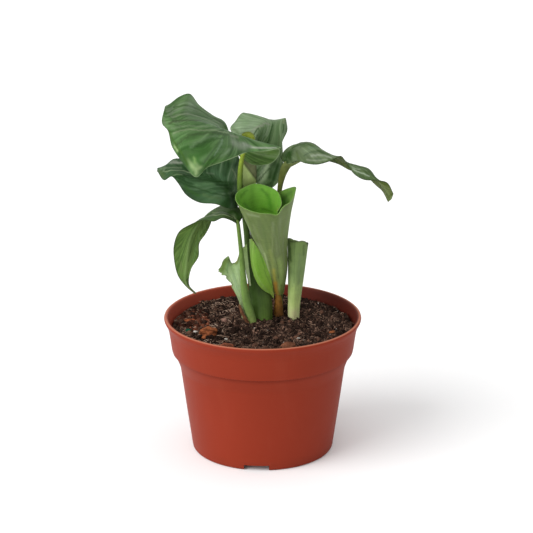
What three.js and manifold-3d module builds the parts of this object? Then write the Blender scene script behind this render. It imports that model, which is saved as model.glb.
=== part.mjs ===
// A young round-leaved prayer plant growing in a 10.5 cm plastic nursery pot.
// Millimetres, +Z up. +X is to the right and +Y to the back, as seen from the side that shows the
// rolled new leaf. The origin is below the middle of the whole, on the surface that it stands on.
// The pieces are drawn about the pot's own axis, which is a little to the left of that point.

import * as THREE from 'three';
import Module from 'manifold-3d';
import { mergeVertices } from 'three/addons/utils/BufferGeometryUtils.js';

const wasm = await Module();
wasm.setup();

// Driving dimensions
const RIM_RADIUS = 52.5;
const POT_HEIGHT = 73.6;
const FOOT_RADIUS = 37.9;
const BAND_RADIUS = 48.3;
const BAND_BOTTOM = 54.9;
const BODY_TOP_RADIUS = 44.1;
const BODY_TOP = 46.4;
const POT_WALL = 1.3;
const FLOOR_UNDERSIDE = 3.0;
const FLOOR_TOP = 4.6;
const POT_SIDES = 48;
const FOOT_NOTCHES = 3;
const NOTCH_WIDTH = 13.4;
const NOTCH_HEIGHT = 2.8;
const NOTCH_DEPTH = 9;
const FIRST_NOTCH_TURN = -5;
const DRAIN_HOLES = 6;
const DRAIN_RADIUS = 3.2;
const DRAIN_CIRCLE = 26;
const SOIL_EDGE_HEIGHT = 68;
const SOIL_MOUND = 2;
const SOIL_MOUND_SPREAD = 18;
const SOIL_CRUMB = 0.35;
const SOIL_CLEARANCE = 0.42;
const BLADE_THICKNESS = 0.8;
const SHEATH_THICKNESS = 0.9;
const GAP = 0.32;
const POT_LEFT_OF_CENTRE = 6.7;

// Colours
const TERRACOTTA = { color: 0xa8452c, roughness: 0.42, metalness: 0 };
const PEAT = { color: 0x34251d, roughness: 0.95, metalness: 0 };
const LEAF_GREEN = { color: 0x4f7a45, roughness: 0.45, metalness: 0 };
const LEAF_SHADE = { color: 0x3f6a3c, roughness: 0.45, metalness: 0 };
const YOUNG_GREEN = { color: 0x6f9a4a, roughness: 0.4, metalness: 0 };
const LIME = { color: 0x9cb03c, roughness: 0.4, metalness: 0 };
const STALK_GREEN = { color: 0x6f8a3c, roughness: 0.5, metalness: 0 };
const SHEATH_GREEN = { color: 0x45602a, roughness: 0.5, metalness: 0 };
const PALE_SHEATH = { color: 0x9dbb84, roughness: 0.55, metalness: 0 };
const OLD_STALK = { color: 0x8a6238, roughness: 0.7, metalness: 0 };
const DRY_BROWN = { color: 0x7d4d2c, roughness: 0.8, metalness: 0 };
const HUSK = { color: 0xa4602f, roughness: 0.9, metalness: 0 };
const BARK = { color: 0x6b4430, roughness: 0.9, metalness: 0 };
const PERLITE = { color: 0xe6e0d6, roughness: 0.9, metalness: 0 };
const PEBBLE = { color: 0x9a7468, roughness: 0.8, metalness: 0 };
const FEED_GREEN = { color: 0x1f7a5a, roughness: 0.45, metalness: 0 };
const RHIZOME_TAN = { color: 0xb09468, roughness: 0.8, metalness: 0 };

const plant = new THREE.Group();
plant.position.x = -POT_LEFT_OF_CENTRE;

function piece(name, geometry, finish) {
  const mesh = new THREE.Mesh(geometry, new THREE.MeshStandardMaterial(finish));
  mesh.name = name;
  plant.add(mesh);
}

// A closed surface as a solid that can be cut, and a solid as a surface again
function solidOf(geometry) {
  const bare = new THREE.BufferGeometry();
  bare.setAttribute('position', geometry.getAttribute('position').clone());
  if (geometry.index) {
    bare.setIndex(geometry.index.clone());
  }
  const merged = mergeVertices(bare, 1e-4);
  const mesh = new wasm.Mesh({
    numProp: 3,
    vertProperties: new Float32Array(merged.getAttribute('position').array),
    triVerts: new Uint32Array(merged.index.array),
  });
  return new wasm.Manifold(mesh);
}

function geometryOf(solid) {
  const mesh = solid.getMesh();
  const geometry = new THREE.BufferGeometry();
  geometry.setAttribute('position', new THREE.BufferAttribute(mesh.vertProperties, 3));
  geometry.setIndex(new THREE.BufferAttribute(mesh.triVerts, 1));
  return geometry;
}

// A closed surface from vertices and faces, turned right side out
function closedSurface(points, faces) {
  let volume = 0;
  for (const [a, b, c] of faces) {
    volume += points[a].dot(new THREE.Vector3().crossVectors(points[b], points[c]));
  }
  const outward = volume > 0 ? faces : faces.map(([a, b, c]) => [a, c, b]);
  const geometry = new THREE.BufferGeometry().setFromPoints(points);
  geometry.setIndex(outward.flat());
  return geometry;
}

function curveThrough(points) {
  return new THREE.CatmullRomCurve3(points.map((p) => new THREE.Vector3(...p)));
}

// A thin sheet through rails that run side by side, from the base to the tip.
// The first rail is the left margin and the last is the right one, seen from the upper side.
function sheet(rails, along, across, thickness) {
  const curves = rails.map((rail) => curveThrough(rail));
  const grid = [];
  for (let i = 0; i <= along; i += 1) {
    const row = curveThrough(curves.map((curve) => curve.getPoint(i / along).toArray()));
    grid.push(row.getPoints(across));
  }
  const normalAt = (i, j) => {
    const ahead = grid[Math.min(i + 1, along)][j].clone().sub(grid[Math.max(i - 1, 0)][j]);
    const right = grid[i][Math.min(j + 1, across)].clone().sub(grid[i][Math.max(j - 1, 0)]);
    return right.cross(ahead).normalize();
  };
  const points = [];
  for (const side of [0.5, -0.5]) {
    for (let i = 0; i <= along; i += 1) {
      for (let j = 0; j <= across; j += 1) {
        points.push(grid[i][j].clone().addScaledVector(normalAt(i, j), side * thickness));
      }
    }
  }
  const width = across + 1;
  const under = (along + 1) * width;
  const faces = [];
  const quad = (a, b, c, d) => faces.push([a, b, c], [a, c, d]);
  for (let i = 0; i < along; i += 1) {
    for (let j = 0; j < across; j += 1) {
      const k = i * width + j;
      quad(k, k + 1, k + 1 + width, k + width);
      quad(under + k, under + k + width, under + k + 1 + width, under + k + 1);
    }
    const left = i * width;
    const right = left + across;
    quad(left, left + width, under + left + width, under + left);
    quad(right + width, right, under + right, under + right + width);
  }
  for (let j = 0; j < across; j += 1) {
    const tip = along * width + j;
    quad(j + 1, j, under + j, under + j + 1);
    quad(tip, tip + 1, under + tip + 1, under + tip);
  }
  return closedSurface(points, faces);
}

// The rail halfway between the midrib and a margin, lifted off their chord by the arch of the blade
function archedRail(midrib, margin, arch, toRight) {
  const spine = curveThrough(midrib);
  return margin.map((edge, k) => {
    const middle = new THREE.Vector3(...midrib[k]);
    const chord = new THREE.Vector3(...edge).sub(middle).multiplyScalar(toRight);
    const ahead = spine.getTangent(k / (margin.length - 1));
    const up = chord.clone().cross(ahead).normalize();
    const centre = middle.lerp(new THREE.Vector3(...edge), 0.5);
    return centre.addScaledVector(up, arch[k]).toArray();
  });
}

function blade(leaf) {
  const leftHalf = archedRail(leaf.midrib, leaf.left, leaf.leftArch, -1);
  const rightHalf = leaf.rightHalf ?? archedRail(leaf.midrib, leaf.right, leaf.rightArch, 1);
  const rails = [leaf.left, leftHalf, leaf.midrib, rightHalf, leaf.right];
  return sheet(rails, leaf.along, leaf.across, BLADE_THICKNESS);
}

// A stalk along a line of points, with its half width and half depth at each point.
// Clearance makes it larger all round, as the hollow that the stalk fits in.
function stalk(points, halfWidths, halfDepths, steps, sides = 10, clearance = 0) {
  const longer = (end, next) => {
    const away = new THREE.Vector3(...end).sub(new THREE.Vector3(...next)).setLength(clearance);
    return away.add(new THREE.Vector3(...end)).toArray();
  };
  const ends = [longer(points[0], points[1]), longer(points.at(-1), points.at(-2))];
  const path = curveThrough([ends[0], ...points.slice(1, -1), ends[1]]);
  const sizes = curveThrough(points.map((_, k) => [halfWidths[k], halfDepths[k], 0]));
  const rings = [];
  let across = new THREE.Vector3(1, 0, 0);
  for (let i = 0; i <= steps; i += 1) {
    const t = i / steps;
    const ahead = path.getTangent(t);
    across = across.clone().addScaledVector(ahead, -across.dot(ahead)).normalize();
    const deep = ahead.clone().cross(across);
    const centre = path.getPoint(t);
    const size = sizes.getPoint(t);
    for (let j = 0; j < sides; j += 1) {
      const turn = (2 * Math.PI * j) / sides;
      const point = centre.clone().addScaledVector(across, (size.x + clearance) * Math.cos(turn));
      rings.push(point.addScaledVector(deep, (size.y + clearance) * Math.sin(turn)));
    }
  }
  const faces = [];
  for (let i = 0; i < steps; i += 1) {
    for (let j = 0; j < sides; j += 1) {
      const a = i * sides + j;
      const b = i * sides + ((j + 1) % sides);
      faces.push([a, b, b + sides], [a, b + sides, a + sides]);
    }
  }
  const last = steps * sides;
  for (let j = 1; j < sides - 1; j += 1) {
    faces.push([0, j + 1, j], [last, last + j, last + j + 1]);
  }
  return closedSurface(rings, faces);
}

// An uneven lump, such as a chip of bark or a grain of perlite
function lump(centre, size, seed, detail = 1, turn = 0) {
  const geometry = mergeVertices(new THREE.IcosahedronGeometry(1, detail).deleteAttribute('normal')
    .deleteAttribute('uv'), 1e-4);
  const position = geometry.getAttribute('position');
  const point = new THREE.Vector3();
  for (let k = 0; k < position.count; k += 1) {
    point.fromBufferAttribute(position, k);
    const bump = 1 + 0.12 * Math.sin(5.1 * point.x + seed) + 0.1 * Math.sin(6.3 * point.y + 2 * seed)
      + 0.08 * Math.sin(4.7 * point.z + 3 * seed);
    position.setXYZ(k, point.x * bump * size[0], point.y * bump * size[1], point.z * bump * size[2]);
  }
  geometry.rotateZ(THREE.MathUtils.degToRad(turn));
  geometry.translate(...centre);
  return geometry;
}

// Pot: a moulded cup with a flared rim, a tall band, a sloping shoulder and a notched foot.
// Its inner wall, from the floor up, is also what the soil fills.
const POT_INNER_WALL = [
  [FOOT_RADIUS - POT_WALL, FLOOR_TOP], [FOOT_RADIUS + 0.8 - POT_WALL, FLOOR_TOP + 1],
  [BODY_TOP_RADIUS - 2.7 - POT_WALL, 25.9], [BODY_TOP_RADIUS - POT_WALL, BODY_TOP - 1],
  [BODY_TOP_RADIUS + 0.6 - POT_WALL, BODY_TOP + 1.2], [BAND_RADIUS - POT_WALL, 56.6],
  [BAND_RADIUS + 1.7 - POT_WALL, 66], [BAND_RADIUS + 2.5 - POT_WALL, 69.6],
];

function potWall() {
  const outer = [
    [FOOT_RADIUS - 0.5, 0], [FOOT_RADIUS, 0.5], [FOOT_RADIUS + 0.7, 5.7],
    [BODY_TOP_RADIUS - 2.7, 25.9], [BODY_TOP_RADIUS - 0.2, BODY_TOP - 1.8], [BODY_TOP_RADIUS + 0.1, BODY_TOP],
    [BODY_TOP_RADIUS + 0.8, BODY_TOP + 1.6], [BAND_RADIUS - 0.7, BAND_BOTTOM - 0.6],
    [BAND_RADIUS - 0.1, BAND_BOTTOM - 0.3], [BAND_RADIUS + 0.1, BAND_BOTTOM + 0.3],
    [BAND_RADIUS + 1.2, 62.9], [BAND_RADIUS + 1.8, 66.2], [BAND_RADIUS + 2.3, 68.2],
    [RIM_RADIUS - 1, 70.2], [RIM_RADIUS - 0.2, 71.7], [RIM_RADIUS, 72.6], [RIM_RADIUS - 0.4, 73.4],
    [RIM_RADIUS - 1.2, POT_HEIGHT],
  ];
  const inner = [
    [RIM_RADIUS - 1.9, POT_HEIGHT - 0.2], [RIM_RADIUS - 2.4, POT_HEIGHT - 1],
    ...POT_INNER_WALL.toReversed(), [0, FLOOR_TOP], [0, FLOOR_UNDERSIDE], [FOOT_RADIUS - 1.9, FLOOR_UNDERSIDE], [FOOT_RADIUS - 2.2, 0],
  ];
  const profile = [...outer, ...inner, outer[0]].map(([r, z]) => new THREE.Vector2(r, z));
  return new THREE.LatheGeometry(profile, POT_SIDES).rotateX(Math.PI / 2);
}

function pot() {
  let cup = solidOf(potWall());
  for (let k = 0; k < FOOT_NOTCHES; k += 1) {
    const turn = THREE.MathUtils.degToRad(FIRST_NOTCH_TURN + (360 / FOOT_NOTCHES) * k);
    const notch = new THREE.BoxGeometry(NOTCH_WIDTH, NOTCH_DEPTH, 2 * NOTCH_HEIGHT);
    notch.translate(0, -FOOT_RADIUS, 0).rotateZ(turn);
    cup = cup.subtract(solidOf(notch));
  }
  for (let k = 0; k < DRAIN_HOLES; k += 1) {
    const hole = new THREE.CylinderGeometry(DRAIN_RADIUS, DRAIN_RADIUS, 4 * FLOOR_TOP, 20);
    hole.rotateX(Math.PI / 2).translate(DRAIN_CIRCLE, 0, 0).rotateZ((2 * Math.PI * k) / DRAIN_HOLES);
    cup = cup.subtract(solidOf(hole));
  }
  return geometryOf(cup);
}

// Soil: it fills the pot, mounds up round the stalks and is crumbly on top
function soilHeight(x, y) {
  const fromPlant = (x + 3) ** 2 + (y - 1) ** 2;
  const mound = SOIL_MOUND * Math.exp(-fromPlant / (2 * SOIL_MOUND_SPREAD ** 2));
  const crumbs = Math.sin(0.55 * x + 1.3) * Math.sin(0.62 * y) + Math.sin(0.31 * x - 0.4 * y);
  return SOIL_EDGE_HEIGHT + mound + SOIL_CRUMB * crumbs;
}

function soilBody() {
  const wall = POT_INNER_WALL.slice(0, 6).map(([r, z]) => [r - SOIL_CLEARANCE, z + GAP]);
  const topRadius = BAND_RADIUS + 1.3 - SOIL_CLEARANCE - POT_WALL;
  const sides = POT_SIDES;
  const rings = 6;
  const points = [new THREE.Vector3(0, 0, FLOOR_TOP + GAP)];
  for (const [r, z] of wall) {
    for (let j = 0; j < sides; j += 1) {
      const turn = (2 * Math.PI * j) / sides;
      points.push(new THREE.Vector3(r * Math.cos(turn), r * Math.sin(turn), z));
    }
  }
  for (let i = 0; i < rings; i += 1) {
    const r = topRadius * (1 - i / rings);
    for (let j = 0; j < sides; j += 1) {
      const turn = (2 * Math.PI * j) / sides;
      const x = r * Math.cos(turn);
      const y = r * Math.sin(turn);
      points.push(new THREE.Vector3(x, y, i === 0 ? SOIL_EDGE_HEIGHT - 0.8 : soilHeight(x, y)));
    }
  }
  points.push(new THREE.Vector3(0, 0, soilHeight(0, 0)));
  const faces = [];
  const levels = wall.length + rings;
  const top = points.length - 1;
  for (let j = 0; j < sides; j += 1) {
    const next = (j + 1) % sides;
    faces.push([0, 1 + next, 1 + j]);
    for (let i = 0; i < levels - 1; i += 1) {
      const a = 1 + i * sides + j;
      const b = 1 + i * sides + next;
      faces.push([a, b, b + sides], [a, b + sides, a + sides]);
    }
    faces.push([1 + (levels - 1) * sides + j, 1 + (levels - 1) * sides + next, top]);
  }
  return closedSurface(points, faces);
}

// Stalks, each from its foot in the soil to the base of its blade
const STALKS = {
  stalk_upper_left: {
    points: [
      [-0.3, 3.4, 62], [-0.2, 3.4, 68.2], [-0.3, 4.9, 76.9], [-1.2, 6.4, 85.4], [-4.1, 6.5, 95.6],
      [-6.9, 6.5, 106.8], [-8.4, 6.3, 118], [-9.8, 6.2, 129.1], [-11.4, 5.6, 141.4], [-11.3, 4.6, 149.9],
      [-10.3, 3, 157.3], [-8.6, 1, 163.2], [-6.9, 0.5, 168], [-7.3, 0.2, 170.8], [-9.2, 0, 171.8],
    ],
    halfWidths: [4.6, 5.2, 5.5, 5.1, 4, 2.5, 1.7, 1.4, 1.5, 1.5, 1.3, 1.2, 1.3, 1.4, 1.2],
    halfDepths: [4.4, 4.9, 4.3, 3.3, 2.6, 2, 1.5, 1.3, 1.4, 1.4, 1.3, 1.2, 1.3, 1.4, 1.2],
    steps: 30,
    finish: SHEATH_GREEN,
  },
  stalk_upper_back: {
    points: [
      [-0.6, 13.8, 62], [-1.6, 13.3, 80.3], [-4, 13, 105.8], [-6, 13.4, 125.3], [-6.9, 13.8, 139],
      [-7, 14, 147.1], [-6.6, 14, 153.7], [-5.8, 13, 160], [-4.7, 11.9, 166.3],
    ],
    halfWidths: [1.6, 1.5, 1.4, 1.8, 2.6, 2.6, 1.9, 1.3, 1.2],
    halfDepths: [1.5, 1.4, 1.3, 1, 0.9, 0.9, 1, 1.2, 1.1],
    steps: 18,
    finish: STALK_GREEN,
  },
  stalk_mid_left: {
    points: [
      [-4.4, 12.4, 62], [-4.3, 11.9, 78], [-6, 11, 92.4], [-7.7, 10.7, 106.6], [-9.4, 10.6, 123.4],
      [-11.3, 10.9, 132.9], [-12, 10, 138.2],
    ],
    halfWidths: [1.5, 1.3, 1.2, 1.1, 1.1, 1.2, 1.1],
    halfDepths: [1.5, 1.3, 1.2, 1.1, 1.1, 1.2, 1.1],
    steps: 14,
    finish: STALK_GREEN,
  },
  stalk_right: {
    points: [
      [9.1, 14.6, 62], [9.4, 14, 77.2], [9.8, 12.8, 94.5], [9.9, 11.8, 114.5], [9, 11, 131.5],
      [9, 10.3, 139.8], [10.1, 9.6, 146.6], [11.6, 8.6, 151.3], [12.1, 7.4, 154.7],
    ],
    halfWidths: [1.7, 1.5, 1.3, 1.2, 1.1, 1.1, 1.1, 1.3, 1.4],
    halfDepths: [1.5, 1.4, 1.3, 1.2, 1.1, 1.1, 1.1, 1.2, 1.2],
    steps: 16,
    finish: STALK_GREEN,
  },
  stalk_low_left: {
    points: [
      [-4.9, -2.4, 62], [-5.6, -2.2, 70.8], [-7.9, -2.1, 79.4], [-9.5, -2.2, 88.5], [-10.5, -2.3, 99.7],
      [-11.4, -2.2, 110.8], [-12.2, -1.9, 118.4], [-12.9, -1.3, 124.4],
    ],
    halfWidths: [2.2, 2.3, 2.5, 2.1, 1.5, 1.2, 1.05, 1],
    halfDepths: [1.4, 1.5, 1.6, 1.4, 1.3, 1.1, 1, 1],
    steps: 18,
    finish: STALK_GREEN,
  },
  rolled_leaf_stalk: {
    points: [[8.5, 9, 62], [8.5, 9, 68.5], [8.5, 9, 74.2], [8.4, 8.9, 80], [8.2, 8.7, 83.6]],
    halfWidths: [2.5, 2.4, 2.2, 1.5, 0.95],
    halfDepths: [2.3, 2.2, 2, 1.5, 0.95],
    steps: 8,
    finish: OLD_STALK,
  },
};

function stalkSolid({ points, halfWidths, halfDepths, steps }, clearance = 0) {
  return stalk(points, halfWidths, halfDepths, steps, 10, clearance);
}

// Rhizome: the fleshy root stock that the stalks rise from, in the soil
const RHIZOME = {
  points: [[-9, -1, 54.5], [-4, 2, 55], [1, 7, 55.2], [7, 9.5, 55.3], [13, 9, 55.2], [20, 8, 54.4]],
  halfWidths: [2.5, 4.6, 5.6, 5.2, 4.8, 2.4],
  halfDepths: [2.2, 4.8, 6.5, 5.8, 4.6, 2.4],
  steps: 12,
};

// Blades. Each list runs from the blade's base to its tip; left and right are seen from above,
// looking from the base to the tip, and the arch lifts the blade between midrib and margin.
const LEAVES = {
  leaf_upper_left: {
    midrib: [
      [-11, -0.5, 171.5], [-12, -2, 172.5], [-13, -4.5, 173.5], [-14.5, -8, 175.5], [-16.5, -12, 177.5],
      [-18.5, -17, 179.5], [-21.5, -22, 181.5], [-26.5, -27, 184.5], [-32.5, -31, 187], [-38, -33, 189],
      [-42, -34.5, 190.5], [-45.5, -35.5, 192.5], [-47, -36, 194.5], [-48.5, -35.5, 197],
    ],
    left: [
      [-10, -1.8, 170.5], [0, -2, 167], [9.5, -2, 166.5], [2.5, -7, 166], [-8, -10, 166],
      [-14.5, -16, 165], [-21.5, -24, 164.5], [-28, -33, 164.5], [-33.5, -40, 161.5], [-39.5, -43, 169.5],
      [-45, -43, 178], [-47, -42, 186], [-50, -40, 189.5], [-48.5, -37, 197],
    ],
    right: [
      [-10.5, 1, 170.8], [0, 5.5, 164], [9, 6, 163], [5.5, 9, 155.5], [-4, 10.5, 153.5],
      [-11.5, 11, 157.5], [-16, 9.5, 166], [-19.5, 6.5, 177.5], [-25.5, 0, 183], [-32.5, -9, 191],
      [-37, -16, 198.5], [-42, -22, 198.5], [-46, -29, 197], [-48, -34.5, 197],
    ],
    leftArch: [0, 0, 0, 0, 0.5, 2, 4, 6, 6.5, 5, 3.5, 1.5, 0.5, 0],
    rightHalf: [
      [-10.9, 0.6, 171.3], [-11.2, 2, 170], [-12, 3.4, 168.5], [-13, 3.4, 166.5], [-15, 1.5, 167.5],
      [-17, -2.5, 170.5], [-19.5, -6, 175], [-24, -10, 179.5], [-30, -15, 184.5], [-36, -21, 189.5],
      [-39.8, -28.5, 194.2], [-43.8, -29, 195.3], [-46.5, -32.5, 195.6], [-48.3, -35, 197],
    ],
    along: 28,
    across: 8,
    finish: LEAF_GREEN,
  },
  leaf_upper_back: {
    midrib: [
      [-4, 11, 168], [-2.5, 12.5, 171.5], [0, 15, 173.5], [2.5, 18, 174], [5, 20.5, 173.5],
      [7.5, 23, 173.5], [10, 25.5, 174], [12, 27.5, 174.5],
    ],
    left: [
      [-5, 12, 167.6], [-13.5, 16, 167.5], [-17, 19, 171], [-14.5, 22, 174], [-10.5, 25, 178],
      [-4.5, 28, 174.5], [2.5, 29, 171.5], [11.6, 28.5, 174],
    ],
    right: [
      [-3, 10.6, 167.2], [-3.6, 12.5, 156], [-3, 13.8, 144.5], [3, 13.8, 141], [10, 14.8, 149],
      [10, 18, 162.5], [13, 23, 169], [12.5, 27, 173.5],
    ],
    leftArch: [0, 1, 1.5, 1.5, 1, 0.5, 0.5, 0],
    rightArch: [0, 1, 2, 2.5, 2.5, 2, 1, 0],
    along: 18,
    across: 10,
    finish: LEAF_SHADE,
  },
  leaf_mid_left: {
    midrib: [
      [-12.5, 9.6, 139.5], [-16, 8.5, 142], [-21, 6.5, 145.5], [-27, 4, 148.5], [-33, 1.5, 151],
      [-38, -0.5, 153], [-42.5, -2.5, 154.5], [-47, -4, 156], [-51, -6, 156.5], [-54.5, -7, 156],
    ],
    left: [
      [-12.8, 8.9, 139], [-12.9, 7.3, 132.4], [-17.5, -1.6, 133.2], [-24.5, -6, 137], [-33, -8, 138.5],
      [-39.5, -9.5, 143], [-44, -10, 150], [-47, -9.5, 153], [-51, -9.5, 151], [-54.5, -7.7, 155.4],
    ],
    right: [
      [-12.3, 11, 140.2], [-12.2, 13.5, 149.5], [-12.8, 15.5, 157], [-17.5, 17, 160.5], [-25.5, 14.5, 160],
      [-34.5, 11, 159], [-41, 7.5, 158.3], [-47, 3, 158], [-50.5, -1.5, 156.5], [-54.5, -6.3, 156.5],
    ],
    leftArch: [0, 1, 2.5, 3, 3, 2.5, 1.5, 0.5, 0.5, 0],
    rightArch: [0, 1, 1.5, 2, 2, 1.5, 0.8, 0.3, 0.2, 0],
    along: 20,
    across: 10,
    finish: LEAF_SHADE,
  },
  leaf_right: {
    midrib: [
      [12, 7, 155.6], [13, 7.5, 160], [16.5, 6.5, 164.5], [21.5, 4, 167.5], [26.5, 1.5, 167.5],
      [31.5, -0.5, 164.5], [36, -2, 162.5], [40.5, -3, 161], [44, -4, 159], [49.5, -5, 157.5],
      [55, -6, 156], [59.5, -7, 150.5], [63, -7, 146.5], [65.5, -6, 141],
    ],
    left: [
      [11.2, 8.3, 155.4], [9.5, 10.5, 158], [11.5, 12.5, 159], [16.5, 14, 157], [22, 13, 156.5],
      [28, 11, 156], [33.5, 8, 156.5], [40, 4.5, 155.5], [45.5, 2.5, 153], [50, 1.5, 152],
      [55, 0, 149.5], [59, -1.5, 146], [62.5, -2.5, 143], [65.5, -4, 137.5],
    ],
    right: [
      [13, 5.6, 155.6], [15.5, 2, 157], [18.5, -1.5, 159], [22.5, -4.5, 158.5], [28, -6.5, 158.5],
      [33, -7.5, 160], [37, -7, 161.5], [40.5, -5.5, 161.5], [43.5, -6.5, 159], [47.5, -9, 154],
      [52.5, -10.5, 151.5], [59.5, -10, 151], [64.5, -9, 149.5], [68, -7.5, 143],
    ],
    leftArch: [0, 0.5, 1.5, 2, 2, 1.5, 1, 0.5, 0.5, 0.5, 0.5, 0.3, 0, 0],
    rightArch: [0, 0.5, 1.5, 2, 2, 1.5, 0.5, 0.2, 0.2, 0.8, 1, 0.5, 0, 0],
    along: 28,
    across: 8,
    finish: LEAF_GREEN,
  },
  leaf_low_left: {
    midrib: [
      [-13, -1, 125], [-16.5, 0, 129], [-21, 2, 130.4], [-27, 4, 128.3], [-31, 4.5, 126],
      [-34.5, 4.5, 122], [-38, 4.5, 115.5], [-39.5, 4.5, 107.5], [-40.5, 4, 100], [-40, 3, 93],
      [-38.5, 2, 88], [-35.8, 1, 85.2],
    ],
    left: [
      [-13.6, -2.2, 125.2], [-16.5, -4, 127.5], [-21, -4.5, 129], [-25.5, -4, 127], [-31, -1.5, 127],
      [-38, 1.5, 123.5], [-44, 3.5, 119], [-47, 5, 111], [-47, 5.5, 102.5], [-45, 4.5, 94],
      [-40.4, 3, 88], [-36, 1.4, 84.9],
    ],
    right: [
      [-12.3, 0.2, 124.9], [-10.6, 2.8, 128], [-14, 7, 130.8], [-21, 9.5, 129.4], [-26, 10.5, 126.5],
      [-27.5, 10, 121.5], [-30, 8.5, 116.5], [-33.5, 7, 111.5], [-34, 5.5, 104.5], [-38, 4, 98],
      [-38, 2.5, 92], [-35.2, 0.5, 85.6],
    ],
    leftArch: [0, 0.3, 0.5, 0.7, 0.8, 0.5, 0.5, 0.5, 0.5, 0.5, 0.2, 0],
    rightArch: [0, 0.2, 0.3, 0.6, 0.8, 0.8, 0.5, 0.5, 0.3, 0.2, 0, 0],
    along: 22,
    across: 6,
    finish: LEAF_SHADE,
  },
};

// Rolled leaf: one blade wound into a funnel. Its rim runs from the inner margin, in front on
// the right, once round and on to the outer margin, behind on the right.
const ROLL_FOOT = [8.2, 8.8, 83];
const ROLL_FOOT_RADII = [1.7, 3.3];
const ROLL_HOLLOW = 0.7;
const ROLL_TURNS = [
  -40, -5, 35, 65, 95, 125, 155, 180, 210, 240, 270, 300, 323, 345, 360, 372, 390, 408,
];
const ROLL_RIM = [
  [7.9, -10, 134.6], [9.8, -5, 137], [7.8, 1.5, 141.6], [2.7, 3.6, 143.9], [-4.1, 4, 145.2],
  [-9.9, 2, 143.6], [-13.1, -1, 142], [-14.1, -5, 140.2], [-12.4, -9.5, 137.9], [-7.6, -13, 136.1],
  [-2.1, -14.5, 134.9], [3.9, -13.9, 134.4], [9.4, -12.4, 137.4], [12.8, -10.2, 139.2],
  [15.7, -6.5, 139.8], [17.8, -2.6, 145.4], [13.6, 2.6, 143.2], [7.4, 5.6, 139.6],
];

function rolledLeaf() {
  const rails = ROLL_RIM.map((rim, k) => {
    const turn = THREE.MathUtils.degToRad(ROLL_TURNS[k]);
    const radius = THREE.MathUtils.lerp(...ROLL_FOOT_RADII, k / (ROLL_RIM.length - 1));
    const outward = new THREE.Vector3(Math.cos(turn), Math.sin(turn), 0);
    const foot = new THREE.Vector3(...ROLL_FOOT).addScaledVector(outward, radius);
    const top = new THREE.Vector3(...rim);
    const waist = foot.clone().lerp(top, 0.5).addScaledVector(outward, -ROLL_HOLLOW);
    return [foot.toArray(), waist.toArray(), top.toArray()];
  });
  return sheet(rails, 8, 36, BLADE_THICKNESS);
}

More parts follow.
